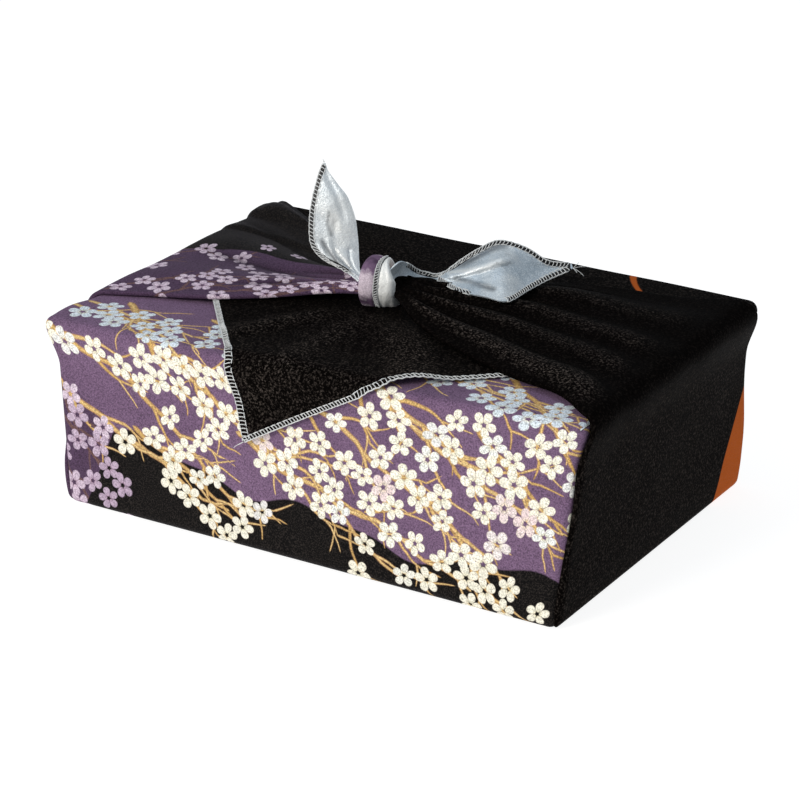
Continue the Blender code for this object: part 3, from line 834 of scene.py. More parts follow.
# The free tails of the knot, each from the knot to its tip.
standingTail = {
    # near edge x y z, far edge x y z
    "sections": [
        (-18.0, -10.0, 112.0, -13.0, -7.0, 113.0),
        (-29.0, -10.5, 119.0, -22.6, -6.2, 118.4),
        (-40.6, -11.5, 123.2, -26.0, -3.0, 122.6),
        (-46.8, -11.8, 127.6, -28.0, -0.2, 127.0),
        (-49.8, -11.3, 133.0, -29.2, 1.2, 132.4),
        (-50.6, -9.9, 144.6, -31.4, 1.9, 144.0),
        (-50.2, -7.6, 153.9, -35.4, 1.6, 153.7),
        (-50.0, -5.0, 159.8, -40.4, 1.0, 159.4),
        (-49.4, -2.2, 166.4, -45.8, 0.0, 166.4),
        (-48.4, -0.3, 170.4, -47.8, 0.1, 170.4),
    ],
    "cup": 2.0,
    # height, half width, then each end's place across and along
    "creases": [
        (-1.3, 1.5, -0.45, 0.6, -0.50, 3.6),
        (-1.1, 1.3, 0.05, 0.6, -0.05, 3.2),
        (-1.2, 1.4, 0.40, 0.6, 0.60, 3.4),
        (1.0, 2.4, -0.2, 0.8, -0.25, 4.0),
        (-0.9, 3.0, 0.5, 4.8, 0.3, 8.0),
        (-1.1, 3.0, 0.05, 4.3, 0.12, 5.0),
    ],
    "boundWidth": 2.3,
    "insetMost": 1.9,
    # the satin's painted shade and painted highlights: reach, then places across and along
    "paintedShades": [
        (2.6, [(-0.52, 3.9), (-0.40, 3.2), (-0.28, 2.3), (-0.42, 1.3), (-0.6, 1.0)]),
        (1.5, [(-0.15, 5.2), (-0.25, 4.7), (-0.10, 4.2)]),
    ],
    "paintedHighlights": [(5.0, [(0.0, 5.0), (0.05, 4.5)]), (2.0, [(0.0, 3.2), (0.2, 2.2), (0.2, 1.4)])],
    "faces": (60.0, -300.0, 60.0),
    # its stitched edges: side, first and last section; its loose threads: heading, droop, length
    "bound": [(-1, 0.9, 8.95)],
    "loose": [((-0.2, 0, 1), -0.5, 2.5), ((0.5, -0.2, 1), -0.5, 2.0)],
}
lyingTail = {
    "sections": [
        (-4.0, -10.0, 117.0, -5.0, -12.0, 122.0),
        (-3.0, -3.0, 119.2, -1.2, -5.0, 127.5),
        (-0.3, 6.0, 116.6, -0.8, 4.0, 123.9),
        (3.2, 12.0, 115.2, 2.0, 11.0, 118.7),
        (8.5, 15.0, 114.2, 9.6, 18.0, 116.7),
        (26.1, 6.2, 113.8, 16.6, 26.0, 122.8),
        (41.4, 6.4, 113.4, 24.7, 31.0, 128.9),
        (53.6, 7.5, 113.0, 32.3, 38.0, 132.3),
        (54.8, 29.4, 113.4, 44.1, 44.0, 128.9),
        (57.9, 45.5, 114.9, 54.2, 49.0, 122.3),
        (65.2, 55.5, 118.3, 63.7, 57.0, 120.3),
    ],
    "cup": -2.4,
    "creases": [
        (3.4, 5.2, 0.05, 4.2, 0.40, 7.6),
        (-2.4, 4.4, 0.72, 4.6, 0.85, 7.4),
        (-1.4, 2.8, -0.45, 4.6, -0.70, 6.6),
        (-0.8, 3.0, 0.0, 7.6, 0.2, 9.2),
    ],
    "boundWidth": 2.5,
    "insetMost": 0.9,
    "paintedShades": [
        (5.4, [(0.58, 5.2), (0.66, 5.8), (0.76, 6.4), (0.86, 7.1)]),
        (2.6, [(-0.20, 4.9), (-0.50, 5.8), (-0.64, 6.5)]),
    ],
    "paintedHighlights": [(3.4, [(0.34, 4.6), (0.18, 5.4), (0.18, 6.1), (0.34, 6.9)])],
    "faces": (0.0, -100.0, 400.0),
    "bound": [(1, 1.8, 9.95), (-1, 4.1, 5.5), (-1, 7.0, 9.95)],
    "loose": [
        ((1, 0.5, 0.5), -1.5, 6.5),
        ((0.9, 0.1, -0.1), -2.5, 6.0),
        ((0.4, 0.8, 0.9), -1.0, 5.0),
        ((0.8, -0.5, 0.1), -1.5, 4.0),
    ],
}
tailSheet = {
    "outward": np.array((0.52, -0.80, 0.30)),
    "behind": (-60, 300, 60),
    "fullCup": 20.0,
    "wave": 0.35,
    "waveSize": 13.0,
    "steps": 14,
    "columns": 28,
}


def curveAt(rows, at):  # rows of numbers at places counted in rows, along one smooth curve
    rows = np.array(rows, float)
    i = np.clip(np.floor(at).astype(int), 0, len(rows) - 2)
    t = (at - i)[:, None]
    before, start = rows[np.maximum(i - 1, 0)], rows[i]
    end, after = rows[i + 1], rows[np.minimum(i + 2, len(rows) - 1)]
    slopeA, slopeB = (end - before) / 2, (after - start) / 2
    return (
        start * (2 * t**3 - 3 * t**2 + 1) + slopeA * (t**3 - 2 * t**2 + t)
        + end * (3 * t**2 - 2 * t**3) + slopeB * (t**3 - t**2)
    )


def lengthAlong(path):  # up to each point of a path
    return np.concatenate([[0], np.cumsum(np.linalg.norm(np.diff(path, axis=0), axis=1))])


def tailWidth(tail, along):
    row = curveAt(tail["sections"], along)
    return np.linalg.norm(row[:, 3:] - row[:, :3], axis=1)


def layTail(tail):
    def lay(across, along):  # across from -1 at the near edge to 1
        row = curveAt(tail["sections"], along)
        nearEdge, farEdge = row[:, :3], row[:, 3:]
        width = np.linalg.norm(farEdge - nearEdge, axis=1)
        front = np.clip(across, -1, 1)
        inner = 1 - front**4
        belly = tail["cup"] * (1 - front**2) * share(width, 0.0, tailSheet["fullCup"])
        uneven = waves(front * width / 2, along * 9, 21, tailSheet["waveSize"]) * share(width, 6.0, 20.0)
        belly = belly + tailSheet["wave"] * uneven * inner
        for height, halfWidth, acrossA, alongA, acrossB, alongB in tail["creases"]:
            middle = acrossA + (acrossB - acrossA) * share(along, alongA, alongB)
            ends = ease(along, alongA - 0.4, alongA + 0.5) * (1 - ease(along, alongB - 0.5, alongB + 0.4))
            belly = belly + height * ends * ridge((front - middle) * width / 2 / halfWidth) * inner
        part = ((front + 1) / 2)[:, None]
        return nearEdge * (1 - part) + farEdge * part + tailSheet["outward"] * belly[:, None]

    return lay


def makeTail(name, tail, material):
    count = tailSheet["columns"]
    across = [-1 + 2 * i / count for i in range(count + 1)]
    last = len(tail["sections"]) - 1
    along = [i / tailSheet["steps"] for i in range(last * tailSheet["steps"])] + [last - 0.02]

    def flatOf(across, along):
        places = np.arange(0, last + 0.01, 0.1)
        middle = curveAt(tail["sections"], places)
        length = lengthAlong((middle[:, :3] + middle[:, 3:]) / 2)
        return across * tailWidth(tail, along) / 2, np.interp(along, places, length)

    pattern = flatPattern(across, along)
    return sewn(name, pattern, layTail(tail), [material, blackCrepe], flatOf, tailSheet["behind"])


# The knot: the end of one ear drawn tight round the other, half of it turned over to its satin back.
knot = {
    "at": np.array((-9.1, -7.0, 114.8)),
    "turn": math.radians(17.1),  # of its axis, from the parcel's length
    "depth": 12.2,
    "height": 14.4,
    "lean": 0.04,  # its top is drawn along the axis
    "bend": 1.1,  # and its front against it
    "boxy": 0.55,  # how far its upper half is squared
    "lower": 0.88,  # how high its lower half is to its upper
    "drawn": 0.25,  # and how far it is drawn in
    "sides": 96,
    "ringsPerRow": 5,
}
printedHalf = {
    # along the axis, radius as a share of the knot's
    "profile": [
        (-9.0, 0.10), (-9.4, 0.45), (-9.6, 0.70), (-9.2, 0.86), (-8.2, 0.95), (-6.6, 1.0), (-4.6, 1.01),
        (-2.8, 0.99), (-1.6, 0.95), (-0.9, 0.88), (-0.7, 0.70), (-0.7, 0.10),
    ],
    # depth, pitch and turn of the creases drawn round it
    "creases": [(0.008, 0.9, 3.0), (0.005, 1.9, 2.0)],
    "seed": 1.0,
    "narrow": 0.0,
}
satinHalf = {
    "profile": [
        (-1.5, 0.10), (-1.5, 0.80), (-1.0, 0.90), (-0.2, 0.945), (1.2, 0.955), (3.0, 0.955), (5.0, 0.94),
        (6.4, 0.92), (7.6, 0.86), (8.4, 0.74), (8.7, 0.56), (8.3, 0.36), (7.6, 0.10),
    ],
    "creases": [(0.010, 0.8, 3.4), (0.007, 1.7, 5.2)],
    "seed": 2.3,
    "narrow": 0.75,  # how much shorter it is along its top and back
    # its stitched edge: first and last angle, places along the axis, size of the stitches
    "boundFrom": (70.0, 278.0),
    "boundAlong": (-0.95, 0.9),
    "boundSize": 0.72,
}


def knotPoint(along, out, angle, half):  # out is a share of the knot's radius
    crease = 0.0
    for number, (size, pitch, turn) in enumerate(half["creases"]):
        crease = crease + size * np.sin(along * pitch + turn * np.sin(angle + half["seed"]) + 2 * number)
    crease = crease * (0.7 + 0.8 * np.maximum(0.0, -np.sin(angle)))
    squared = (np.abs(np.cos(angle)) ** 3 + np.abs(np.sin(angle)) ** 3) ** (-1 / 3)
    boxy = np.where(np.sin(angle) > 0, knot["boxy"], 0.0)
    out = out * (1 + crease * (out > 0.6)) * (1 - boxy + boxy * squared)
    deep, high = np.cos(angle) * knot["depth"] * out, np.sin(angle) * knot["height"] * out
    deep = deep * (1 - knot["drawn"] * np.maximum(0.0, -np.sin(angle)) ** 1.5)
    high = np.where(high < 0, high * knot["lower"], high)
    narrow = np.maximum(0.0, np.cos(angle - 1.1)) - 0.15 * np.maximum(0.0, -np.sin(angle))
    along = along * (1 - half["narrow"] * narrow * (along > 0))
    along = along + high * knot["lean"] + knot["bend"] * np.cos(angle)
    c, s = math.cos(knot["turn"]), math.sin(knot["turn"])
    return knot["at"] + np.stack([along * c - deep * s, along * s + deep * c, high], -1)


def makeKnotHalf(name, half, material):
    profile = half["profile"]
    rows = curveAt(profile, np.linspace(0, len(profile) - 1.0001, len(profile) * knot["ringsPerRow"]))
    angles = np.arange(knot["sides"]) * math.tau / knot["sides"]
    bm = bmesh.new()
    rings = []
    for along, out in rows:
        rings.append([bm.verts.new(point * mm) for point in knotPoint(along, out, angles, half)])
    for ring, ahead in zip(rings, rings[1:]):
        for j in range(len(ring)):
            k = (j + 1) % len(ring)
            bm.faces.new((ring[j], ring[k], ahead[k], ahead[j]))
    for ring in (rings[0], rings[-1]):
        bm.faces.new(ring)
    bmesh.ops.recalc_face_normals(bm, faces=bm.faces)
    mesh = bpy.data.meshes.new(name)
    bm.to_mesh(mesh)
    bm.free()
    mesh.shade_smooth()
    return linked(name, mesh, material)


# The print: twigs that grow by rule, with blossoms about them, set down in the cloth's own flat places.
spray = {
    "seed": 41,
    "step": 4.0,
    "wander": 0.15,  # how far a twig turns at each step
    "steady": 0.6,  # how much of a turn lasts to the next step
    "taper": 0.55,
    "blossom": 7.4,  # radius
    "apart": 10.4,  # least distance between two blossoms
    "astray": 4.2,  # how far they sit from their twig
    "twigEvery": 5,  # steps of a bough
    # least and most: turn and length of a twig, length of a spur, a blossom's size and squash
    "twigTurns": (0.45, 0.9),
    "twigs": (18, 40),
    "spurs": (8, 18),
    "sizes": (0.88, 1.1),
    "squashes": (0.8, 1.0),
    "spurSpread": 0.55,
    "spurWidth": 1.4,
    # the cloth's cells within this reach of a blossom or twig carry it
    "reach": 0.8,
    "twigReach": 1.2,
}
offPrint = 9.0  # a coordinate outside every blossom and twig


def growTwig(draw, layer, tone, start, heading, length, width, bend):
    points, widths = [np.array(start, float)], [width]
    count = max(2, round(length / spray["step"]))
    drift = 0.0
    for i in range(count):
        heading += bend / count
        drift = spray["steady"] * drift + draw.normal(0, spray["wander"])
        ahead = np.array((math.cos(heading + drift), math.sin(heading + drift)))
        points.append(points[-1] + ahead * length / count)
        widths.append(width * (1 - spray["taper"] * (i + 1) / count))
    return {
        "points": np.array(points), "widths": np.array(widths), "heading": heading, "layer": layer,
        "tone": tone + draw.uniform(0, 0.9),
    }


def growSpray(draw, start, heading, length, width, bend, tone):
    # a bough with twigs to both sides, each ending in short spurs; a tone from 1 on is the lilac kind
    bough = growTwig(draw, 0, tone, start, heading, length, width, bend)
    curves = [bough]
    side = draw.choice((-1, 1))
    for i in range(4, len(bough["points"]) - 1, spray["twigEvery"]):
        side = -side
        along = bough["points"][i + 1] - bough["points"][i]
        turn = math.atan2(along[1], along[0]) + side * draw.uniform(*spray["twigTurns"])
        twigWidth = bough["widths"][i] * 0.75 + 0.3
        length = draw.uniform(*spray["twigs"])
        twig = growTwig(draw, 1, tone, bough["points"][i], turn, length, twigWidth, -side * 0.5)
        curves.append(twig)
        for j, spread in enumerate((-spray["spurSpread"], spray["spurSpread"])):
            turn = twig["heading"] + spread + draw.normal(0, 0.15)
            length = draw.uniform(*spray["spurs"])
            curves.append(growTwig(
                draw, 2 + j, tone, twig["points"][-1 - j], turn, length, spray["spurWidth"], 0.2,
            ))
    return curves


def scatterBlossoms(draw, curves, density, tone, blossoms, apart=spray["apart"], radius=spray["blossom"]):
    for curve in curves:
        if curve["layer"] > 1:
            continue
        for i in range(1, len(curve["points"])):
            if draw.uniform() > density:
                continue
            place = curve["points"][i] + draw.normal(0, spray["astray"], 2)
            if all(math.dist(place, other["at"]) > apart for other in blossoms):
                blossoms.append(newBlossom(draw, place, radius, tone))


def newBlossom(draw, place, radius, tone):
    return {
        "tone": tone + min(0.86, abs(draw.normal(0, 0.40))),
        "at": np.array(place, float),
        "radius": radius * draw.uniform(*spray["sizes"]),
        "turn": draw.uniform(0, math.tau),
        "squash": draw.uniform(*spray["squashes"]),
        "lean": draw.uniform(0, math.pi),
    }


def readSheet(obj):  # the flat places of its corners, the middles of its faces, and each corner's face
    places = flatPlaces(obj)
    starts = readValues(obj.data.polygons, "loop_start", kind=int)
    totals = readValues(obj.data.polygons, "loop_total", kind=int)
    centres = np.add.reduceat(places, starts) / totals[:, None]
    return places, centres, np.repeat(np.arange(len(totals)), totals)


def writeCorners(obj, name, values):
    writeValues(obj.data.attributes.new(name, "FLOAT_VECTOR", "CORNER").data, "vector", values)


def turnedBack(places, angle):
    return places @ np.array(((math.cos(angle), -math.sin(angle)), (math.sin(angle), math.cos(angle))))


def fits(blossom, layer, cell):  # no face of the sheet is shared by two blossoms of a layer
    radius = blossom["radius"] + 2 * spray["reach"] * cell
    return all(math.dist(blossom["at"], other["at"]) > radius + other["radius"] for other in layer)


def stampBlossoms(obj, blossoms, cell):
    places, centres, owner = readSheet(obj)
    layers = [[] for _ in range(crepe["blossomLayers"])]
    for blossom in blossoms:
        free = next((layer for layer in layers if fits(blossom, layer, cell)), [])
        free.append(blossom)
    for number, layer in enumerate(layers):
        values = np.tile(np.array((offPrint, offPrint, 0.0)), (len(places), 1))
        for blossom in layer:
            gap = np.linalg.norm(centres - blossom["at"], axis=1)
            close = gap < blossom["radius"] + spray["reach"] * cell
            hit = close[owner]
            local = turnedBack((places[hit] - blossom["at"]) / blossom["radius"], blossom["lean"])
            local[:, 0] /= blossom["squash"]
            values[hit, :2] = turnedBack(local, blossom["turn"])
            values[hit, 2] = blossom["tone"]
        writeCorners(obj, "blossom%d" % number, values)
    print(obj.name, sum(len(layer) for layer in layers), "blossoms printed of", len(blossoms))


def fromTwig(points, widths, at):  # distance from a twig's line, the same with its side, and its half width
    best, signed, half = np.full(len(at), farthest), np.zeros(len(at)), np.zeros(len(at))
    for i in range(len(points) - 1):
        start, along = points[i], points[i + 1] - points[i]
        length = np.linalg.norm(along)
        unit = along / length
        offset = at - start
        t = offset @ unit / length
        side = offset[:, 1] * unit[0] - offset[:, 0] * unit[1]
        held = np.clip(t, 0, 1)
        gap = np.linalg.norm(offset - held[:, None] * along, axis=1)
        take = gap < best
        best[take] = gap[take]
        signed[take] = side[take]
        width = widths[i] + (widths[i + 1] - widths[i]) * held
        past = np.maximum(0, -t) * (i == 0)
        if i == len(points) - 2:
            past = np.maximum(0, t - 1)
        half[take] = (width / 2 - past * length * 0.8)[take]
    return best, signed, half


def stampTwigs(obj, curves, cell):
    places, centres, owner = readSheet(obj)
    for number in range(crepe["twigLayers"]):
        values = np.tile(np.array((offPrint, 0.0, 0.0)), (len(places), 1))
        nearest = np.full(len(centres), farthest)
        for curve in curves:
            if curve["layer"] != number:
                continue
            low, high = curve["points"].min(0) - 6, curve["points"].max(0) + 6
            close = np.nonzero(np.all((centres > low) & (centres < high), axis=1))[0]
            if not len(close):
                continue
            gap = fromTwig(curve["points"], curve["widths"], centres[close])[0]
            most = curve["widths"][0] / 2 + spray["twigReach"] * cell
            reach = (gap < most) & (gap < nearest[close])
            close = close[reach]
            nearest[close] = gap[reach]
            chosen = np.zeros(len(centres), bool)
            chosen[close] = True
            hit = chosen[owner]
            signed, half = fromTwig(curve["points"], curve["widths"], places[hit])[1:]
            values[hit] = np.stack([signed, half, np.full(len(signed), curve["tone"])], 1)
        writeCorners(obj, "twig%d" % number, values)


def stampGround(obj, field):
    writeCorners(obj, "ground", np.stack(field(*flatPlaces(obj).T), 1))


def stampPrint(obj, curves, blossoms, cell, field):
    stampTwigs(obj, curves, cell)
    stampBlossoms(obj, blossoms, cell)
    stampGround(obj, field)


def fieldAt(field, place):  # a ground's numbers at one flat place
    return [values[0] for values in field(*np.array(place)[:, None])]


# The front's print. Boughs: start across and along the cloth, heading in degrees, length, width, bend.
frontPrint = {
    "boughs": [
        (-150, -202, 30, 150, 3.8, 0.15),
        (-152, -170, 22, 124, 3.6, 0.10),
        (-122, -238, 42, 150, 4.0, -0.25),
        (-98, -152, 30, 74, 3.0, 0.15),
        (-88, -204, 32, 132, 3.6, -0.15),
        (-44, -218, 32, 152, 4.0, -0.10),
        (-34, -162, 20, 112, 3.4, 0.15),
        (4, -226, 34, 152, 4.0, 0.15),
        (40, -208, 38, 116, 3.8, -0.15),
        (22, -136, 10, 84, 3.0, 0.20),
        (58, -160, 26, 92, 3.6, 0.20),
        (96, -192, 42, 66, 3.2, 0.10),
        (88, -244, 48, 96, 3.6, 0.20),
        (14, -244, 14, 120, 3.2, 0.15),
        (-140, -230, 12, 84, 3.2, 0.20),
        (-72, -238, 18, 96, 3.2, 0.10),
        (-148, -222, 4, 84, 2.8, 0.10),
        (52, -228, 8, 92, 2.8, 0.25),
    ],
    "share": 0.43,  # of the places along a twig that have a blossom
    # the far boughs at the left: starts across and along the cloth, headings from and to, length and width
    "far": [(-152, -176), (-152, -154), (-152, -130), (-152, -112)],
    "farHeadings": (0, 50),
    "farBough": (44, 2.6),
    "farShare": 0.9,
}


def frontGround(x, y):
    height = -y - halfY  # over the base edge
    # the black lies below a wavy line that rises to the left, and leaves out the left end
    line = 46 - 24 * share(x, -115, 40) + 4 * np.sin(x / 17 + 0.6) + 2 * np.sin(x / 7.5 + 2.0)
    black = line - height - 50 * share(-x, 112, 138)
    deep = -x - 120 + 12 * np.sin(height / 19) - 0.8 * (height - 46)
    return black, deep, np.zeros(len(x))


def printFront(obj):
    draw = np.random.default_rng(spray["seed"])
    curves, blossoms = [], []
    for x, y, heading, length, width, bend in frontPrint["boughs"]:
        curves += growSpray(draw, (x, y), math.radians(heading), length, width, bend, 0.0)
    far = []
    for start in frontPrint["far"]:
        heading = math.radians(draw.uniform(*frontPrint["farHeadings"]))
        far += growSpray(draw, start, heading, *frontPrint["farBough"], 0.2, 1.0)
    scatterBlossoms(draw, curves, frontPrint["share"], 0.0, blossoms)
    scatterBlossoms(draw, far, frontPrint["farShare"], 1.0, blossoms)
    for blossom in blossoms:
        if fieldAt(frontGround, blossom["at"])[1] > 0:  # the lilac kind, on the deep violet
            blossom["tone"] = 1 + blossom["tone"] % 1
        elif blossom["at"][1] < -halfY - rim:  # painted sky light: the coolest white, on the top
            blossom["tone"] = 0.995
    stampPrint(obj, far + curves, blossoms, frontCover["cell"], frontGround)


earPrint = {
    "boughs": 11,
    "every": 26,  # from one bough's start to the next
    "starts": (-95, -40),
    "headings": (95, 150),
    "length": 92,
    "width": 2.2,
    "share": 0.8,
    "radius": 7.0,
    "apart": 11.6,
    "lone": [(-290.5, 15.7), (-312.5, 19.5)],  # blossoms set singly
}


def earGround(x, y):
    run = -x - halfX - rim
    black = y - 12 + 24 * np.exp(-np.maximum(run, 0) / 38) + 0.1 * np.minimum(run, 0) + 1.5 * np.sin(run / 9)
    deep = 7 + 5 * np.sin(run / 23) + 4 * np.sin(y / 9)
    return black, deep, earCreaseShade(leftEar, x, y)


def printEar(obj):
    draw = np.random.default_rng(spray["seed"] + 1)
    curves, blossoms = [], []
    for i in range(earPrint["boughs"]):
        start = (-halfX - earPrint["every"] * i, draw.uniform(*earPrint["starts"]))
        heading = math.radians(draw.uniform(*earPrint["headings"]))
        curves += growSpray(draw, start, heading, earPrint["length"], earPrint["width"], 0.3, 1.0)
    scatterBlossoms(draw, curves, earPrint["share"], 1.0, blossoms, earPrint["apart"], earPrint["radius"])
    kept = [blossom for blossom in blossoms if fieldAt(earGround, blossom["at"])[0] < 3]
    kept += [newBlossom(draw, place, earPrint["radius"], 1.0) for place in earPrint["lone"]]
    for blossom in kept:  # the paler lilacs
        blossom["tone"] = 1.5 + 0.49 * (blossom["tone"] - 1)
    stampPrint(obj, curves, kept, earSheet["cell"], earGround)


# A plain orange crescent on the black, and painted sheen that brightens the glints on the crests of the
# folds.
backMoon = {"at": (155.2, 166.6), "radius": 89.1, "inner": (143.1, 178.4), "innerRadius": 69.6}
earMoon = {"at": (140.7, 153.6), "radius": 85.8, "inner": (127.5, 168.6), "innerRadius": 62.8}


def inMoon(moon, x, y):
    outer = moon["radius"] - np.hypot(x - moon["at"][0], y - moon["at"][1])
    inner = np.hypot(x - moon["inner"][0], y - moon["inner"][1]) - moon["innerRadius"]
    return np.minimum(outer, inner)


def backGround(x, y):
    past = y - halfY - rim
    crest = share(backLayer(x, past) - frontRoom(past), 1.6, 3.8)
    # painted sheen: most on the ridges' crests, more towards the front rim and on the hanging flap, and some
    # on the back wall and near the back edge
    paintedSheen = 0.06 + 0.26 * crest + 0.10 * ease(past, depth - 60, depth) + 0.08 * (1 - ease(past, 30, 100))
    return inMoon(backMoon, x, y), paintedSheen, np.zeros(len(x))


def rightGround(x, y):
    run = x - halfX - rim
    # painted sheen on the crests of the folds, taken out in the creases' painted shade, and some on the end
    # wall
    crest = share(earFolds(rightEar, earPlace(rightEar, y, run), run), 1.2, 3.4) * ease(run, -4.0, 12.0)
    crest = crest * (1 - earCreaseShade(rightEar, x, y))
    return inMoon(earMoon, x, y), 0.04 + 0.36 * crest + 0.10 * ease(-run, 0.0, 16.0), np.zeros(len(x))


# The overlocked edges: rungs of thread over the edge, a needle line inside and a purl along the rim.
overlock = {
    "pitch": 1.95,
    "width": 2.8,
    "slant": 1.1,
    "thread": 0.27,  # radius
    "purl": 0.38,
    "lift": 0.36,  # of the thread over the cloth's middle
    "sides": 5,
    "up": (0.31, 0.17, 0.93),  # no thread runs this way
}


def unit(rows):
    return rows / np.maximum(np.linalg.norm(rows, axis=-1, keepdims=True), 1e-6)


def tube(path, radius, shape):  # adds a thread along a path to the lists of a mesh
    verts, faces = shape
    sides = overlock["sides"]
    path = np.array(path)
    along = unit(np.gradient(path, axis=0))
    across = unit(np.cross(along, overlock["up"]))
    other = np.cross(along, across)
    first = len(verts)
    for centre, a, b in zip(path, across, other):
        for k in range(sides):
            angle = math.tau * k / sides
            verts.append(centre + radius * (math.cos(angle) * a + math.sin(angle) * b))
    for i in range(len(path) - 1):
        for k in range(sides):
            at, following = first + i * sides, (k + 1) % sides
            faces.append((at + k, at + following, at + sides + following, at + sides + k))
    faces.append(tuple(first + k for k in reversed(range(sides))))
    faces.append(tuple(first + (len(path) - 1) * sides + k for k in range(sides)))


def pointsAt(path, length, s):
    return np.stack([np.interp(s, length, column) for column in path.T], -1)


def stitched(surface, edgeAt, innerAt, shape, facing, starts=0.0, size=1.0):
    # surface lays a flat place out; edgeAt and innerAt are rows of flat places along the edge and inside it
    outer = surface(edgeAt[:, 0], edgeAt[:, 1])
    inner = surface(innerAt[:, 0], innerAt[:, 1])
    length = lengthAlong(outer)
    places = np.arange(starts, length[-1] - 0.5, overlock["pitch"] * size)
    edgePoints, innerPoints = pointsAt(outer, length, places), pointsAt(inner, length, places)
    along = unit(pointsAt(outer, length, places + 0.5) - pointsAt(outer, length, places - 0.5))
    inward = unit(innerPoints - edgePoints)
    normal = unit(np.cross(along, inward))
    normal *= np.sign(np.sum(normal * facing(edgePoints), axis=1, keepdims=True))
    lift, slant = overlock["lift"] * size, overlock["slant"] * size
    for p, q, t, n, i in zip(edgePoints, innerPoints, along, normal, inward):
        if np.linalg.norm(q - p) < 1.0:
            continue
        middle = (p + q) / 2
        path = [
            q + n * 0.15 - t * slant, q + n * lift - t * slant * 0.8, middle + n * (lift + 0.15),
            p + n * (lift + 0.05) + t * slant * 0.5, p - i * 0.45 + t * slant * 0.6,
            p - n * lift + i * 0.3 + t * slant * 0.4, middle - n * lift, q - n * lift - t * slant * 0.5,
        ]
        tube(path, overlock["thread"] * size, shape)
    turns = (-1.0) ** np.arange(len(places))[:, None]
    tube(edgePoints - inward * 0.35 + normal * 0.25 * turns, overlock["purl"] * size, shape)
    tube(innerPoints + normal * (lift - 0.1 + 0.2 * turns), overlock["thread"] * 1.05 * size, shape)
    return outer


def makeStitches(name, shape):
    mesh = bpy.data.meshes.new(name)
    mesh.from_pydata([tuple(v * mm) for v in shape[0]], [], shape[1])
    mesh.shade_smooth()
    obj = linked(name, mesh, thread)
    return obj


unbound = 99.0  # the distance of a place with no bound edge near it


def away(places, path):  # how far each place is from a path, and whether it lies past its ends
    length = lengthAlong(path)
    even = pointsAt(path, length, np.arange(0, length[-1], 0.4))
    gap, past = np.full(len(places), unbound), np.zeros(len(places), bool)
    for i, point in enumerate(even):
        here = np.linalg.norm(places - point, axis=1)
        closer = here < gap
        gap[closer] = here[closer]
        past[closer] = i in (0, len(even) - 1)
    return gap, past


def markBound(obj, paths, tail=None):  # how far each place lies from the thread-bound edges, and its painted shade and painted highlight
    places = readValues(obj.data.vertices, "co", 3) / mm
    bound = np.full(len(places), unbound)
    for path in paths:
        gap, past = away(places, path)
        bound = np.where(past, bound, np.minimum(bound, gap))
    satinLightAndShade = [np.zeros(len(places)), np.zeros(len(places))]
    for tone, kind in zip(satinLightAndShade, ("paintedShades", "paintedHighlights")):
        for reach, way in tail[kind] if tail else []:
            gap = away(places, layTail(tail)(*np.array(way).T))[0]
            np.maximum(tone, 1 - ease(gap, 0.0, reach), out=tone)
    layer = obj.data.attributes.new("bound", "FLOAT_VECTOR", "POINT")
    writeValues(layer.data, "vector", np.stack([bound, *satinLightAndShade], 1))


def looseEnds(shape, start, ways):  # the cut threads that hang out at a tip
    t = np.linspace(0, 1, 8)[:, None]
    for heading, droop, length in ways:
        fall = np.array((0.0, 0.0, droop)) * t**2
        tube(start + unit(np.array(heading)) * length * t + fall, overlock["thread"] * 0.6, shape)


def edgeFlap():
    shape = ([], [])
    tip = flapTip - backCover["trim"] * (flapLeft + flapRight)
    for outward, turned, length in ((flapLeft, -1, 150.0), (flapRight, 1, 128.0)):
        s = np.linspace(0, length, 240)[:, None]
        way = turned * np.array((outward[1], -outward[0]))
        edgeAt = tip + s * way
        taper = 1 - 0.28 * share(rim + depth - edgeAt[:, 1:], 0.0, 8.0) * (turned < 0)
        innerAt = edgeAt - outward * overlock["width"] * taper
        stitched(layBack, edgeAt, innerAt, shape, lambda p: p - (0.0, 0.0, 20.0), 0.6)
    looseEnds(shape, layBack(tip[:1], tip[1:])[0], backCover["loose"])
    return makeStitches("flapStitches", shape)


def edgeTail(name, tail):
    shape, paths = ([], []), []
    for side, first, last in tail["bound"]:
        along = np.linspace(first, last, 160)
        width = np.maximum(tailWidth(tail, along), 0.1)
        inset = np.minimum(tail["insetMost"], 2 * tail["boundWidth"] / width)
        edgeAt = np.stack([np.full(len(along), float(side)), along], 1)
        innerAt = np.stack([side * (1 - inset), along], 1)
        paths.append(stitched(layTail(tail), edgeAt, innerAt, shape, lambda p: tail["faces"] - p))
    looseEnds(shape, np.array(tail["sections"][-1][:3]), tail["loose"])
    return makeStitches(name, shape), paths


def edgeKnot():
    def surface(along, angle):
        out = np.interp(along, [-1.5, -0.95, 0.0, 0.9, 1.8], [0.9, 0.965, 0.985, 0.985, 0.98])
        return knotPoint(along, out, angle, satinHalf)

    shape = ([], [])
    angle = np.radians(np.linspace(*satinHalf["boundFrom"], 200))
    edgeAt, innerAt = (np.stack([np.full(len(angle), along), angle], 1) for along in satinHalf["boundAlong"])
    path = stitched(surface, edgeAt, innerAt, shape, lambda p: p - knot["at"], size=satinHalf["boundSize"])
    makeStitches("knotStitches", shape)
    return path


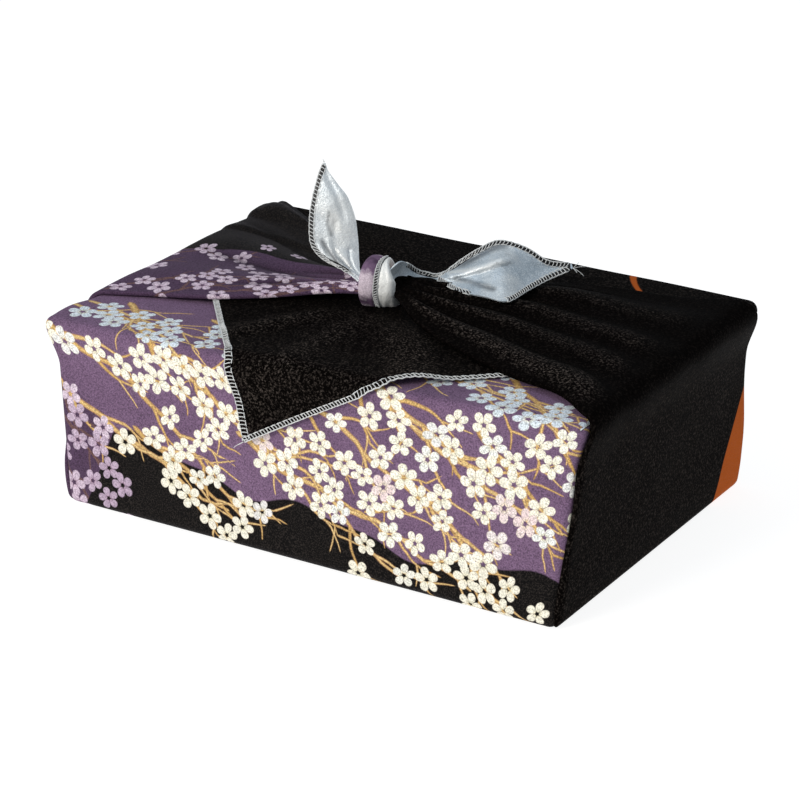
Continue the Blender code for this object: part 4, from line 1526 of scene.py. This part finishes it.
front = makeFront()
print("front cover made")
back = makeBack()
print("back cover made")
left = makeEar("leftEar", leftEar, printed)
right = makeEar("rightEar", rightEar, blackCrepe)
print("ears made")
standing = makeTail("standingTail", standingTail, litSatin)
lying = makeTail("lyingTail", lyingTail, satin)
bands = [
    makeKnotHalf("knotPrintedHalf", printedHalf, knotPrint),
    makeKnotHalf("knotSatinHalf", satinHalf, knotLitSatin),
]
print("tails and knot made")
printFront(front)
printEar(left)
stampGround(back, backGround)
stampGround(right, rightGround)
print("print set down")
flapEdge = edgeFlap()
standingEdge, standingPaths = edgeTail("standingStitches", standingTail)
lyingEdge, lyingPaths = edgeTail("lyingStitches", lyingTail)
markBound(standing, standingPaths, standingTail)
markBound(lying, lyingPaths, lyingTail)
markBound(bands[1], [edgeKnot()])
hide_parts("edging_flap")
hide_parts("edging_standing_tail")
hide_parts("edging_lying_tail")
print("edges stitched")
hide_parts("cloth")
declare(front)
declare(back)
declare(left)
declare(right)
declare(standing)
declare(lying)

studio = {
    "floor": (0.30, 0.30, 0.30),
    "floorSize": 6.0,
    "glow": 0.88,  # light of the floor itself, as on a light table
    "world": (0.86, 0.93, 1.0),
    "worldStrength": 0.42,
    # name, place, size, watts, colour
    "lamps": [
        ("keyLight", (-0.40, -1.60, 1.00), 0.7, 20.0, (1.0, 0.96, 0.90)),
        ("topLight", (-0.2, -0.1, 1.9), 1.6, 5.0, (0.78, 0.89, 1.0)),
    ],
    "aim": (0.0, 0.0, 0.05),
}
camera = {
    "azimuth": 31.4,
    "elevation": 21.95,
    "distance": 1.147,
    "target": (-0.0049, 0.002, 0.0502),
    "lens": 100.35,
    "sensor": 36.0,
}


def makeFloor():
    bpy.ops.mesh.primitive_plane_add(size=studio["floorSize"], location=(0, 0, 0))
    floor = bpy.context.object
    floor.name = "floor"
    floor.data.materials.append(Finish(
        "paleFloor", Base_Color=studio["floor"], Roughness=0.9, Specular_IOR_Level=0.0,
        Emission_Color=(1.0, 1.0, 1.0), Emission_Strength=studio["glow"],
    ).material)


def makeLights():
    world = bpy.data.worlds.new("paleRoom")
    bpy.context.scene.world = world
    world.use_nodes = True
    background = world.node_tree.nodes["Background"]
    background.inputs["Color"].default_value = (*studio["world"], 1)
    background.inputs["Strength"].default_value = studio["worldStrength"]
    for name, place, size, watts, colour in studio["lamps"]:
        bpy.ops.object.light_add(type="AREA", location=place)
        lamp = bpy.context.object
        lamp.name = name
        lamp.data.shape = "DISK"
        lamp.data.size = size
        lamp.data.energy = watts
        lamp.data.color = colour
        aim = Vector(studio["aim"]) - Vector(place)
        lamp.rotation_euler = aim.to_track_quat("-Z", "Y").to_euler()


def makeCamera():
    azimuth, elevation = math.radians(camera["azimuth"]), math.radians(camera["elevation"])
    level = math.cos(elevation)
    out = Vector((math.sin(azimuth) * level, -math.cos(azimuth) * level, math.sin(elevation)))
    place = Vector(camera["target"]) + out * camera["distance"]
    bpy.ops.object.camera_add(location=place, rotation=out.to_track_quat("Z", "Y").to_euler())
    view = bpy.context.object
    view.data.lens = camera["lens"]
    view.data.sensor_width = camera["sensor"]
    bpy.context.scene.camera = view


makeFloor()
makeLights()
makeCamera()
bpy.context.scene.view_settings.view_transform = "Standard"
print("studio ready")
